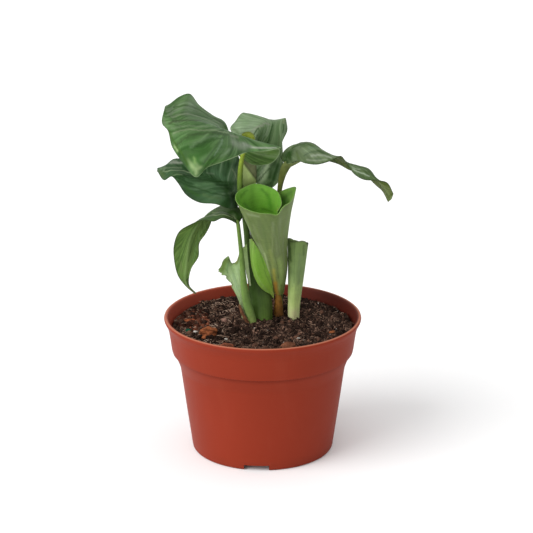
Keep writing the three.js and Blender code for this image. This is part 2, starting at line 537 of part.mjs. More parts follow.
// Loose sheaths: what older leaves left round the foot of the plant
const SHEATHS = {
  cut_stub: {
    rails: [
      [[15.5, 9.7, 62.5], [15.3, 9.7, 75.7], [15.1, 10.2, 89.7], [15.1, 10.8, 101.9], [15.7, 11.2, 110.4]],
      [[13.9, 7.5, 62.7], [13.9, 7.2, 75.9], [13.9, 7, 90.7], [13.8, 6.6, 103.2], [13.8, 6.5, 114]],
      [[16.2, 4.9, 62.5], [16.3, 4.6, 75.7], [16.9, 3.8, 90.7], [17.7, 3.2, 103.2], [18.8, 3, 113]],
      [[19.1, 7.5, 62.7], [19.5, 7.2, 75.9], [21.2, 7, 89.5], [22.8, 6.6, 102], [23.8, 6.5, 110.4]],
      [[17.9, 9.7, 62.5], [18.2, 9.7, 75.7], [19.1, 10.4, 89.6], [20.2, 11.2, 101.7], [21.3, 11.7, 110.8]],
    ],
    along: 8,
    across: 12,
    finish: PALE_SHEATH,
  },
  torn_sheath: {
    rails: [
      [[-10.6, -1, 72.1], [-12.1, -1.2, 81.3], [-15, -1.6, 88.5], [-17, -2.4, 94.1], [-19.9, -3.9, 98.5],
        [-23.7, -2.4, 100]],
      [[-9.9, -0.3, 72], [-11.4, -0.4, 81.1], [-13.9, -0.8, 89.6], [-16, -1.4, 96], [-18.1, -2.6, 102.5],
        [-18.6, -1.4, 107.6]],
      [[-9, 0.2, 71.9], [-10.5, 0.1, 81], [-12.6, -0.2, 89.5], [-14.4, -0.4, 95.7], [-15.7, -0.7, 100.3],
        [-16.3, -0.8, 103.6]],
      [[-8.2, 0.5, 71.8], [-9.6, 0.4, 80.9], [-11.6, 0.1, 89.4], [-12.9, -0.2, 96.7], [-13.6, -0.4, 101.2],
        [-14, -0.5, 104.1]],
      [[-7.4, 0.7, 71.7], [-8.7, 0.7, 80.7], [-10.5, 0.4, 89.2], [-11.5, 0, 97.7], [-11.9, -0.2, 103.3],
        [-12.1, -0.4, 109.1]],
    ],
    along: 10,
    across: 8,
    finish: PALE_SHEATH,
  },
  sheath_wing: {
    rails: [
      [[-6.9, -0.2, 90], [-8.5, -0.5, 96.3], [-9.6, -0.7, 103.6], [-10.4, -0.9, 112.4]],
      [[-6.6, 0.1, 89.9], [-7.6, 0.2, 96.7], [-8.6, 0.1, 104.2], [-9.4, -0.2, 113]],
      [[-6.3, 0.4, 89.9], [-7, 0.7, 97.1], [-7.8, 0.7, 104.8], [-8.5, 0.4, 113.7]],
    ],
    along: 8,
    across: 4,
    finish: PALE_SHEATH,
  },
  dry_scale: {
    rails: [
      [[-9.1, -1.6, 70.4], [-10.3, -1.7, 72.4], [-11.9, -1.8, 75.9], [-12.8, -2, 80.2]],
      [[-8.2, -3.8, 70.6], [-9.6, -3.6, 72.7], [-11.2, -3.3, 76.2], [-12.5, -2.8, 80.6]],
      [[-7, -4.3, 70.8], [-8.3, -4.4, 73], [-10.2, -4.1, 76.6], [-11.9, -3.7, 80.8]],
    ],
    along: 6,
    across: 6,
    finish: DRY_BROWN,
  },
  rolled_leaf_flap: {
    rails: [
      [[5.8, 6.8, 80.6], [4.2, 3.9, 83.7], [0.6, 1.6, 86.9], [-2.2, 0, 90.5], [-4.6, -0.6, 96.2],
        [-6, -0.4, 102.4], [-6.6, -0.4, 109], [-6.8, -0.6, 116.2]],
      [[5.8, 5.9, 81], [4.4, 3, 85.7], [2.2, 0.4, 90.9], [-0.3, -1, 95.3], [-2.4, -1.9, 100.5],
        [-4.2, -2.3, 106.1], [-5.4, -2.2, 111.6], [-6.4, -1.8, 116.6]],
      [[5.5, 5.1, 81.6], [4.4, 2.6, 87.4], [2.8, 0.6, 94.1], [0.9, -0.8, 99.5], [-1.3, -1.8, 104.7],
        [-3.3, -2.8, 109.8], [-4.7, -2.9, 113.5], [-6, -2.7, 116.8]],
    ],
    along: 12,
    across: 4,
    finish: YOUNG_GREEN,
  },
};

// Loose bits on the soil: centre in plan, half sizes, how deep each sits, and a turn
const SOIL_BITS = {
  husk_chunk: { at: [-28.2, -17.4], size: [4.6, 3.6, 2.6], sink: 0.4, turn: 20, finish: HUSK },
  husk_shred: { at: [-39, 3.6], size: [3.8, 2.6, 1.3], sink: 0.3, turn: -15, finish: HUSK },
  bark_front: { at: [-18.5, -37.5], size: [3.9, 1.9, 1.5], sink: 0.3, turn: -8, finish: BARK },
  bark_front_right: { at: [13.3, -37], size: [4.2, 2, 1.7], sink: 0.3, turn: 6, finish: BARK },
  bark_right: { at: [36.8, -12.6], size: [2.2, 1.4, 0.9], sink: 0.3, turn: 40, finish: HUSK },
  pebble: { at: [-20.3, 0.3], size: [1.8, 1.6, 1.5], sink: 0.3, turn: 0, finish: PEBBLE },
  feed_bead: { at: [-39.4, -11.8], size: [1.5, 1.3, 1.1], sink: 0.2, turn: 0, finish: FEED_GREEN },
  perlite_left: { at: [-35.4, -14.4], size: [1.4, 1.2, 1.1], sink: 0.3, turn: 0, finish: PERLITE },
  perlite_front: { at: [-19.2, -24.4], size: [1.3, 1, 0.9], sink: 0.3, turn: 20, finish: PERLITE },
  perlite_right: { at: [18.7, -23.9], size: [1.2, 0.9, 0.8], sink: 0.3, turn: 0, finish: PERLITE },
};

function bitCentre({ at: [x, y], size, sink }) {
  return [x, y, soilHeight(x, y) + size[2] * (1 - sink)];
}

// The soil is hollowed where the rhizome, the stalks, the stub and the loose bits sit in it
function soil() {
  let body = solidOf(soilBody());
  const { points, halfWidths, halfDepths, steps } = RHIZOME;
  body = body.subtract(solidOf(stalk(points, halfWidths, halfDepths, steps, 12, GAP)));
  for (const each of Object.values(STALKS)) {
    body = body.subtract(solidOf(stalkSolid(each, GAP)));
  }
  const stubHole = stalk(
    [[16.4, 7.4, 61], [16.4, 7.3, 69], [16.7, 7.2, 76]], [3.4, 3.6, 4], [3.4, 3.6, 4], 6, 12, GAP,
  );
  body = body.subtract(solidOf(stubHole));
  for (const [k, bit] of Object.values(SOIL_BITS).entries()) {
    const room = bit.size.map((half) => half + GAP / 0.75);
    body = body.subtract(solidOf(lump(bitCentre(bit), room, k + 1, 1, bit.turn)));
  }
  const whole = body.decompose().sort((a, b) => b.volume() - a.volume())[0];
  return geometryOf(whole);
}

piece('pot', pot(), TERRACOTTA);
piece('soil', soil(), PEAT);
piece('rhizome', stalk(RHIZOME.points, RHIZOME.halfWidths, RHIZOME.halfDepths, RHIZOME.steps, 12), RHIZOME_TAN);
for (const [name, each] of Object.entries(STALKS)) {
  piece(name, stalkSolid(each), each.finish);
}
for (const [name, leaf] of Object.entries(LEAVES)) {
  piece(name, blade(leaf), leaf.finish);
}
piece('rolled_leaf', rolledLeaf(), YOUNG_GREEN);
for (const [name, { rails, along, across, finish }] of Object.entries(SHEATHS)) {
  piece(name, sheet(rails, along, across, SHEATH_THICKNESS), finish);
}
for (const [k, [name, bit]] of Object.entries(SOIL_BITS).entries()) {
  piece(name, lump(bitCentre(bit), bit.size, k + 1, 1, bit.turn), bit.finish);
}

export default plant;
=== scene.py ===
"""A young prayer plant in a plastic nursery pot: its finished looks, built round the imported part.

Design sizes are millimetres measured from the pot's own axis, as in the part's source.
"""

import math

import bmesh
import bpy
import numpy as np
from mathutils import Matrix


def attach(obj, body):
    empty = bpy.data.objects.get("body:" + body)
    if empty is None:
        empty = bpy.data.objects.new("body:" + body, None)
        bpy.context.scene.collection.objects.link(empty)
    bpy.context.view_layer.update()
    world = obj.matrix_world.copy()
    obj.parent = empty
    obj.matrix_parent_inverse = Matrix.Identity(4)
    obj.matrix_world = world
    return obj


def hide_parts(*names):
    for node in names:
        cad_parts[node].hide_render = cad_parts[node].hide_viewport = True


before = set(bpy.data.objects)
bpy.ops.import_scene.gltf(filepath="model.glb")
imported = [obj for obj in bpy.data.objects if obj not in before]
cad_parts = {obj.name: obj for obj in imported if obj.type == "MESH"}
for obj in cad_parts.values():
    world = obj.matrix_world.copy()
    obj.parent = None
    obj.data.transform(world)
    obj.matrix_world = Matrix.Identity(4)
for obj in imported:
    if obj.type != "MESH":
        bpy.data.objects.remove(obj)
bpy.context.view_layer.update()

bl_info = {
    "name": "Potted prayer plant",
    "version": (1, 0, 0),
    "blender": (4, 5, 0),
    "location": "View3D > Sidebar > Plant",
    "description": "Builds a young prayer plant with banded leaves in a nursery pot",
    "category": "Add Mesh",
}

TURN = 2 * math.pi
MM = 0.001
# The pot's axis stands this far left of the part's origin
POT_LEFT_OF_CENTRE = 6.7

# Blades: rails from the base to the tip; left and right are seen from above, looking to the tip.
# An arch lifts the blade halfway between midrib and margin; right_half is a rail in its place.
BLADES = {
    "upper_left": {
        "midrib": [
            (-11, -0.5, 171.5), (-12, -2, 172.5), (-13, -4.5, 173.5), (-14.5, -8, 175.5), (-16.5, -12, 177.5),
            (-18.5, -17, 179.5), (-21.5, -22, 181.5), (-26.5, -27, 184.5), (-32.5, -31, 187), (-38, -33, 189),
            (-42, -34.5, 190.5), (-45.5, -35.5, 192.5), (-47, -36, 194.5), (-48.5, -35.5, 197),
        ],
        "left": [
            (-10, -1.8, 170.5), (0, -2, 167), (9.5, -2, 166.5), (2.5, -7, 166), (-8, -10, 166),
            (-14.5, -16, 165), (-21.5, -24, 164.5), (-28, -33, 164.5), (-33.5, -40, 161.5),
            (-39.5, -43, 169.5), (-45, -43, 178), (-47, -42, 186), (-50, -40, 189.5), (-48.5, -37, 197),
        ],
        "right": [
            (-10.5, 1, 170.8), (0, 5.5, 164), (9, 6, 163), (5.5, 9, 155.5), (-4, 10.5, 153.5),
            (-11.5, 11, 157.5), (-16, 9.5, 166), (-19.5, 6.5, 177.5), (-25.5, 0, 183), (-32.5, -9, 191),
            (-37, -16, 198.5), (-42, -22, 198.5), (-46, -29, 197), (-48, -34.5, 197),
        ],
        "left_arch": [0, 0, 0, 0, 0.5, 2, 4, 6, 6.5, 5, 3.5, 1.5, 0.5, 0],
        "right_half": [
            (-10.9, 0.6, 171.3), (-11.2, 2, 170), (-12, 3.4, 168.5), (-13, 3.4, 166.5), (-15, 1.5, 167.5),
            (-17, -2.5, 170.5), (-19.5, -6, 175), (-24, -10, 179.5), (-30, -15, 184.5), (-36, -21, 189.5),
            (-39.8, -28.5, 194.2), (-43.8, -29, 195.3), (-46.5, -32.5, 195.6), (-48.3, -35, 197),
        ],
    },
    "upper_back": {
        "midrib": [
            (-4, 11, 168), (-2.5, 12.5, 171.5), (0, 15, 173.5), (2.5, 18, 174), (5, 20.5, 173.5),
            (7.5, 23, 173.5), (10, 25.5, 174), (12, 27.5, 174.5),
        ],
        "left": [
            (-5, 11.6, 165.6), (-13.5, 16, 167), (-17, 19, 171), (-14.5, 22, 174), (-10.5, 25, 178),
            (-4.5, 28, 174.5), (2.5, 29, 171.5), (11.6, 28.5, 174),
        ],
        "right": [
            (-3, 10.4, 166), (-6.6, 14.8, 156), (-5.9, 15.6, 145), (3.6, 14.8, 139.2), (10.3, 14.8, 146.8),
            (10, 18, 162.5), (13, 23, 169), (12.5, 27, 173.5),
        ],
        "left_arch": [0, 1, 1.5, 1.5, 1, 0.5, 0.5, 0],
        "right_arch": [0, 1, 2, 2.5, 2.5, 2, 1, 0],
    },
    "mid_left": {
        "midrib": [
            (-12.5, 9.6, 139.5), (-16, 8.5, 142), (-21, 6.5, 145.5), (-27, 4, 148.5), (-33, 1.5, 151),
            (-38, -0.5, 153), (-42.5, -2.5, 154.5), (-47, -4, 156), (-51, -6, 156.5), (-54.5, -7, 156),
        ],
        "left": [
            (-12.8, 8.9, 139), (-12.9, 7.3, 132.4), (-17.5, -1.6, 133.2), (-24.5, -6, 137), (-33, -8, 138.5),
            (-39.5, -9.5, 143), (-44, -10, 150), (-47, -9.5, 153), (-51, -9.5, 151), (-54.5, -7.7, 155.4),
        ],
        "right": [
            (-12.3, 11, 140.2), (-12.2, 13.5, 149.5), (-12.8, 15.5, 157), (-17.5, 17, 160.5),
            (-25.5, 14.5, 160), (-34.5, 11, 159), (-41, 7.5, 158), (-46.5, 3, 158.8), (-50.5, -1.5, 156.8),
            (-54.5, -6.3, 156.5),
        ],
        "left_arch": [0, 1, 2.5, 3, 3, 2.5, 1.5, 0.5, 0.5, 0],
        "right_arch": [0, 1, 1.5, 2, 2, 1.5, 0.8, 0.3, 0.2, 0],
    },
    "right": {
        "midrib": [
            (12, 7, 155.6), (13, 7.5, 160), (16.5, 6.5, 164.5), (21.5, 4, 167.5), (26.5, 1.5, 167.5),
            (31.5, -0.5, 164.5), (36, -2, 162.5), (40.5, -3, 161), (44, -4, 159), (49.5, -5, 157.5),
            (55, -6, 156), (59.5, -7, 150.5), (63.4, -7, 146), (67.2, -5.6, 139.8),
        ],
        "left": [
            (11.2, 8.3, 155.4), (9.5, 10.5, 158), (11.5, 12.5, 159), (16.5, 14, 157), (22, 13, 156.5),
            (28, 11, 156), (33.5, 8, 156.5), (40, 4.5, 155.5), (45.5, 2.5, 153), (50, 1.5, 152),
            (55, 0, 149.5), (59, -1.5, 146), (62.5, -2.5, 143), (65.5, -4, 137.5),
        ],
        "right": [
            (13, 5.6, 155.6), (15.5, 2, 157), (18.5, -1.5, 159), (22.5, -4.5, 158.5), (28, -6.5, 158.5),
            (33, -7.5, 160), (37, -7, 161.5), (40.5, -5.5, 162.8), (43.5, -6.5, 159), (47.5, -9, 154),
            (52.5, -10.5, 151.5), (59.5, -10, 151), (64.5, -9, 149.5), (68, -7.5, 143),
        ],
        "left_arch": [0, 0.5, 1.5, 2, 2, 1.5, 1, 0.5, 0.5, 0.5, 0.5, 0.3, 0, 0],
        "right_arch": [0, 0.5, 1.5, 2, 2, 1.5, 0.5, 0.2, 0.2, 0.8, 1, 0.5, 0, 0],
    },
    "low_left": {
        "midrib": [
            (-13, -1, 125), (-16.5, 0, 129), (-21, 2, 130.4), (-27, 4, 128.3), (-31, 4.5, 126),
            (-34.5, 4.5, 122), (-38, 4.5, 115.5), (-39.5, 4.5, 107.5), (-40.5, 4, 100), (-41, 3.2, 93),
            (-39.9, 2.5, 88.9), (-35.8, 1, 85.2),
        ],
        "left": [
            (-13.6, -2.2, 125.2), (-16.5, -4, 127.5), (-21, -4.5, 129), (-25.5, -4, 127), (-31, -1.5, 127),
            (-38, 1.5, 123.5), (-44, 3.5, 119), (-47, 5, 111), (-47, 5.5, 102.5), (-45, 4.5, 94),
            (-40.8, 3, 88.6), (-36, 1.4, 84.9),
        ],
        "right": [
            (-12.3, 0.2, 124.9), (-10.6, 2.8, 128), (-14, 7.6, 132.2), (-21.5, 10, 131.6),
            (-26.3, 10.5, 127.4), (-27.5, 10, 121.5), (-30, 8.5, 116.5), (-33.5, 7, 111.5), (-34, 5.5, 104.5),
            (-38, 4, 98), (-39, 2.2, 89.6), (-35.2, 0.5, 85.6),
        ],
        "left_arch": [0, 0.3, 0.5, 0.7, 0.8, 0.5, 0.5, 0.5, 0.5, 0.5, 0.2, 0],
        "right_arch": [0, 0.2, 0.3, 0.6, 0.8, 0.8, 0.5, 0.5, 0.3, 0.2, 0, 0],
    },
}


# Shapes: curves, sheets and stalks as arrays of points in millimetres


def metres(points):
    return (np.asarray(points, float) - (POT_LEFT_OF_CENTRE, 0, 0)) * MM


def spline(points, places):
    """A smooth curve through points, read at places from 0 to 1. Rows of points give rows of curves."""
    p = np.asarray(points, float)
    last = len(p) - 1
    p = np.concatenate([[2 * p[0] - p[1]], p, [2 * p[-1] - p[-2]]])
    read = []
    for place in places:
        k = min(int(place * last), last - 1)
        w = place * last - k
        p0, p1, p2, p3 = p[k : k + 4]
        d0, d1, d2 = (
            np.maximum(np.linalg.norm(b - a, axis=-1, keepdims=True), 1e-6) ** 0.5
            for a, b in ((p0, p1), (p1, p2), (p2, p3))
        )
        m1 = ((p1 - p0) / d0 - (p2 - p0) / (d0 + d1) + (p2 - p1) / d1) * d1
        m2 = ((p2 - p1) / d1 - (p3 - p1) / (d1 + d2) + (p3 - p2) / d2) * d1
        start, end = p1 * (2 * w**3 - 3 * w**2 + 1), p2 * (3 * w**2 - 2 * w**3)
        read.append(start + m1 * (w**3 - 2 * w**2 + w) + end + m2 * (w**3 - w**2))
    return np.array(read)


def surface(rails, along, across):
    """A grid of points over rails that run side by side."""
    stations = spline(np.array(rails, float).transpose(1, 0, 2), along)
    return spline(stations.transpose(1, 0, 2), across).transpose(1, 0, 2)


def unit(v):
    return v / np.maximum(np.linalg.norm(v, axis=-1, keepdims=True), 1e-9)


def rumple(points, size, seed, octaves=3):
    """Smooth unevenness from about -1 to 1, with its largest bumps about size across."""
    rng = np.random.default_rng(seed)
    total, weight = 0, 0
    for octave in range(octaves):
        for _ in range(6):
            way = unit(rng.normal(size=3)) * TURN / size * 2**octave
            waves = np.sin(points @ (way * rng.uniform(0.7, 1.3)) + rng.uniform(0, 6.28))
            total = total + 0.55**octave * waves
        weight += 2.2 * 0.55**octave
    return total / weight


def ridges(across, along, size, seed, octaves=3):
    """Rumple over a sheet's own two directions."""
    return rumple(np.stack([across, along, 0 * along], -1), size, seed, octaves)


def grid_faces(rows, columns, closed=False):
    """Quads over a grid, facing to the side from which rows go up and columns go right."""
    r, c = np.meshgrid(np.arange(rows - 1), np.arange(columns if closed else columns - 1), indexing="ij")
    a, b = r * columns + c, r * columns + (c + 1) % columns
    return np.stack([a, b, b + columns, a + columns], -1).reshape(-1, 4)


def fan(tip, ring, sides, outward):
    """Triangles from a tip to a ring of points that starts at index ring."""
    pairs = [(ring + j, ring + (j + 1) % sides) for j in range(sides)]
    return [(tip, a, b) if outward else (tip, b, a) for a, b in pairs]


def thin_body(grid, thickness, raised=0.0, lowered=0.0):
    """A thin closed sheet about a grid: vertices, faces, and each face's side: 0 upper, 1 under, 2 edge."""
    rows, columns = grid.shape[:2]
    up = unit(np.cross(np.gradient(grid, axis=1), np.gradient(grid, axis=0)))
    half, raised, lowered = (
        np.broadcast_to(x, (rows, columns))[..., None] for x in (np.divide(thickness, 2), raised, lowered)
    )
    upper, under = grid + up * (half + raised), grid - up * (half + lowered)
    top, count = grid_faces(rows, columns), rows * columns
    edge = np.concatenate(
        [
            np.arange(columns),
            np.arange(1, rows) * columns + columns - 1,
            (rows - 1) * columns + np.arange(columns - 2, -1, -1),
            np.arange(rows - 2, 0, -1) * columns,
        ]
    )
    after = np.roll(edge, -1)
    rim = np.stack([after, edge, edge + count, after + count], -1)
    side = np.repeat([0, 1, 2], [len(top), len(top), len(rim)])
    points = np.concatenate([upper.reshape(-1, 3), under.reshape(-1, 3)])
    return points, np.concatenate([top, top[:, ::-1] + count, rim]), side


# Each end of a stalk closes with a slightly domed cap, by this share of its half depth
CAP_BULGE = 0.35


def tube(shape, rings, sides, swell):
    """A closed stalk: shape has rows of x, y, z, half width and half depth. swell(place, turn) scales it.

    Returns vertices, faces, and each vertex's place along the stalk and round it.
    """
    shape, places = np.array(shape, float), np.linspace(0, 1, rings)
    line = spline(shape[:, :3], places)
    size = spline(shape[:, 3:], places)
    ahead = unit(np.gradient(line, axis=0))
    turn = np.linspace(0, TURN, sides, endpoint=False)
    across, skin = np.array([1.0, 0, 0]), []
    for k in range(rings):
        across = unit(across - ahead[k] * (across @ ahead[k]))
        deep = np.cross(ahead[k], across)
        grow = swell(places[k], turn)
        wide, thick = (size[k, 0] * np.cos(turn) * grow)[:, None], (size[k, 1] * np.sin(turn) * grow)[:, None]
        skin.append(line[k] + across * wide + deep * thick)
    bulge = CAP_BULGE * size[:, 1:2] * ahead
    skin = np.concatenate(skin + [[line[0] - bulge[0], line[-1] + bulge[-1]]])
    foot, tip = rings * sides, rings * sides + 1
    faces = grid_faces(rings, sides, closed=True).tolist()
    faces += fan(foot, 0, sides, False) + fan(tip, (rings - 1) * sides, sides, True)
    place = np.append(np.repeat(places, sides), [0, 1])
    return skin, faces, place, np.append(np.tile(turn / TURN, rings), [0, 0])


# Colours: plain sRGB numbers as they look in full light, where the stage makes a surface this much lighter
FULL_LIGHT = 1.5


def tone(*colour):
    c = np.array(colour, float) / 255
    return np.where(c <= 0.04045, c / 12.92, ((c + 0.055) / 1.055) ** 2.4) / FULL_LIGHT


def mixed(under, over, share):
    """Painted colours with a share of one plain colour over them."""
    share = np.clip(share, 0, 1)[..., None]
    return under * (1 - share) + tone(*over) * share


def ramp(place, *stops):
    """Colours along a line: each stop is its place and a plain colour."""
    colours = np.array([tone(*colour) for _, *colour in stops])
    return np.stack([np.interp(place, [s[0] for s in stops], channel) for channel in colours.T], -1)


# Pieces


def linked(name, data):
    piece = bpy.data.objects.new(name, data)
    bpy.context.scene.collection.objects.link(piece)
    return piece


def new_piece(name, points, faces, materials, side=None, uv=None, colour=None, sharp=50):
    mesh = bpy.data.meshes.new(name)
    mesh.from_pydata(metres(points).tolist(), [], [list(map(int, f)) for f in faces])
    for material in materials:
        mesh.materials.append(material)
    if side is not None:
        mesh.polygons.foreach_set("material_index", np.asarray(side, np.int32))
    if uv is not None:
        corners = np.empty(len(mesh.loops), np.int32)
        mesh.loops.foreach_get("vertex_index", corners)
        uv = np.asarray(uv, np.float32)[corners].ravel()
        mesh.uv_layers.new(name="UVMap").data.foreach_set("uv", uv)
    if colour is not None:
        solid = np.ones((len(points), 4), np.float32)
        solid[:, :3] = np.clip(colour, 0, 1)
        paint = mesh.color_attributes.new("tone", "FLOAT_COLOR", "POINT")
        paint.data.foreach_set("color", solid.ravel())
    mesh.polygons.foreach_set("use_smooth", [True] * len(mesh.polygons))
    mesh.update()
    mesh.set_sharp_from_angle(angle=math.radians(sharp))
    return linked(name, mesh)


def finished(piece, slot, *nodes):
    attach(piece, "root")
    if nodes:
        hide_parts(*nodes)


def finished_stem(name, node, slot, body, colour, skin):
    points, faces, place, around = body
    piece = new_piece(name, points, faces, [skin], None, np.stack([around, place], -1), colour)
    finished(piece, slot, node)


# Node trees


class Graph:
    """Nodes under construction: adds them, and joins them by socket name."""

    def __init__(self, tree):
        self.nodes, self.links = tree.nodes, tree.links

    def join(self, value, socket):
        if isinstance(value, bpy.types.NodeSocket):
            self.links.new(value, socket)
        else:
            socket.default_value = value

    def new(self, kind, settings=None, **inputs):
        node = self.nodes.new(kind)
        for key, value in (settings or {}).items():
            setattr(node, key, value)
        for socket, value in inputs.items():
            self.join(value, node.inputs[socket.replace("_", " ")])
        return node

    def maths(self, operation, *values, vector=False):
        """A math or vector math node with its inputs in order."""
        kind = "ShaderNodeVectorMath" if vector else "ShaderNodeMath"
        node = self.new(kind, {"operation": operation})
        for value, socket in zip(values, node.inputs):
            self.join(value, socket)
        return node.outputs["Value" if operation == "LENGTH" else 0]


class Recipe(Graph):
    """A node material under construction."""

    def __init__(self, name, **sockets):
        self.material = bpy.data.materials.new(name)
        self.material.use_nodes = True
        super().__init__(self.material.node_tree)
        self.shader = self.nodes["Principled BSDF"]
        for socket, value in sockets.items():
            self.shader.inputs[socket.replace("_", " ")].default_value = value

    def add(self, kind, **inputs):
        return self.new("ShaderNode" + kind, **inputs)

    def place(self, scale=(1, 1, 1), uv=False):
        """Coordinates on the piece, in metres or in its own UV map, stretched by scale."""
        vector = self.add("TexCoord").outputs["UV" if uv else "Object"]
        return self.add("Mapping", Vector=vector, Scale=scale).outputs[0]

    def noise(self, vector, scale, detail=4.0, roughness=0.55, distortion=0.0):
        node = self.add("TexNoise", Vector=vector, Scale=scale, Detail=detail, Roughness=roughness,
                        Distortion=distortion)
        return node.outputs["Fac"]

    def attribute(self, name, output):
        node = self.add("Attribute")
        node.attribute_name = name
        return node.outputs[output]

    def range(self, value, low, high, to_low=0.0, to_high=1.0):
        node = self.add("MapRange", Value=value, From_Min=low, From_Max=high, To_Min=to_low, To_Max=to_high)
        return node.outputs[0]

    def times(self, first, *others):
        for value in others:
            first = self.maths("MULTIPLY", first, value)
        return first

    def mix(self, share, a, b, blend="MIX"):
        node = self.new("ShaderNodeMix", {"data_type": "RGBA", "blend_type": blend})
        for socket, value in zip((node.inputs[0], node.inputs[6], node.inputs[7]), (share, a, b)):
            self.join((*value, 1) if isinstance(value, (tuple, np.ndarray)) else value, socket)
        return node.outputs[2]

    def bump(self, height, depth, strength=1.0):
        """Relief of the given depth in millimetres, over any that is there."""
        bump = self.add("Bump", Height=height, Strength=strength, Distance=depth * MM)
        normal = self.shader.inputs["Normal"]
        if normal.is_linked:
            self.join(normal.links[0].from_socket, bump.inputs["Normal"])
        self.join(bump.outputs[0], normal)

    def surface(self, colour, roughness, shade=None):
        """The shader's colour and roughness. shade lightens or darkens the colour."""
        if shade is not None:
            grey = self.add("CombineColor", Red=shade, Green=shade, Blue=shade).outputs[0]
            colour = self.mix(1.0, colour, grey, "MULTIPLY")
        self.join(colour, self.shader.inputs["Base Color"])
        self.join(roughness, self.shader.inputs["Roughness"])


def leaf_skin(name, rough, vein_depth, veins=110.0, vein_shade=0.12, glow=0.0):
    """A waxy blade: painted colour, fine side veins along the rows, and a slightly uneven gloss."""
    m = Recipe(name, Specular_IOR_Level=0.12, Subsurface_Weight=glow, Subsurface_Radius=(0.5, 1.0, 0.2),
               Subsurface_Scale=0.0015)
    vein = m.noise(m.place((1.5, veins, 1.0), uv=True), 1.0, 3.0, 0.5)
    grain = m.noise(m.place(), 900.0, 3.0)
    cloud = m.noise(m.place(), 70.0, 3.0)
    shade = m.times(m.range(vein, 0.35, 0.65, 1 - vein_shade, 1 + vein_shade),
                    m.range(grain, 0.3, 0.7, 0.96, 1.04), m.range(cloud, 0.3, 0.7, 0.94, 1.06))
    m.surface(m.attribute("tone", "Color"), m.range(cloud, 0.3, 0.7, rough - 0.07, rough + 0.07), shade)
    m.bump(vein, vein_depth)
    m.bump(grain, 0.03)
    return m.material


def stalk_skin(name, rough=0.45, streak_depth=0.08, speckle=0.1):
    """A smooth stalk or sheath: painted colour with fine lengthwise streaks."""
    m = Recipe(name, Specular_IOR_Level=0.12, Subsurface_Weight=0.03, Subsurface_Radius=(0.6, 1.0, 0.25),
               Subsurface_Scale=0.002)
    streak = m.noise(m.place((60.0, 2.5, 1.0), uv=True), 1.0, 3.0, 0.5)
    grain = m.noise(m.place(), 700.0, 3.0)
    shade = m.times(m.range(streak, 0.3, 0.7, 1 - speckle, 1 + speckle), m.range(grain, 0.3, 0.7, 0.95, 1.05))
    m.surface(m.attribute("tone", "Color"), m.range(grain, 0.3, 0.7, rough - 0.06, rough + 0.08), shade)
    m.bump(streak, streak_depth)
    return m.material


def earthy(name, dark, light, scale, rough, depth, red=None, crumbs=False, grain=(1, 1, 1)):
    """Crumbly or fibrous stuff: two tones by noise in place or by crumb, with a rough relief."""
    m = Recipe(name, Specular_IOR_Level=0.05)
    large = m.noise(m.place(grain), scale * 0.45, 4.0, 0.6, 0.4)
    small = m.noise(m.place(), scale * 2.6, 4.0, 0.6)
    share = m.range(large, 0.36, 0.66)
    shade = m.range(small, 0.3, 0.7, 0.6, 1.4)
    if crumbs:
        tint = m.maths("POWER", m.attribute("tint", "Fac"), 4.0)
        share = m.times(tint, m.range(large, 0.3, 0.6, 0.5, 1.3))
        shade = m.times(shade, m.range(m.noise(m.place(), 95.0, 3.0), 0.38, 0.66, 0.6, 1.55))
    colour = m.mix(share, dark, light)
    if red is not None:
        warm = m.noise(m.place((1.0, 1.3, 1.7)), scale * 0.9, 2.0)
        colour = m.mix(m.range(warm, 0.56, 0.66, 0, 0.6), colour, red)
    m.surface(colour, m.range(small, 0.3, 0.7, rough - 0.1, min(rough + 0.1, 1.0)), shade)
    m.bump(small, depth)
    return m.material


# Blades

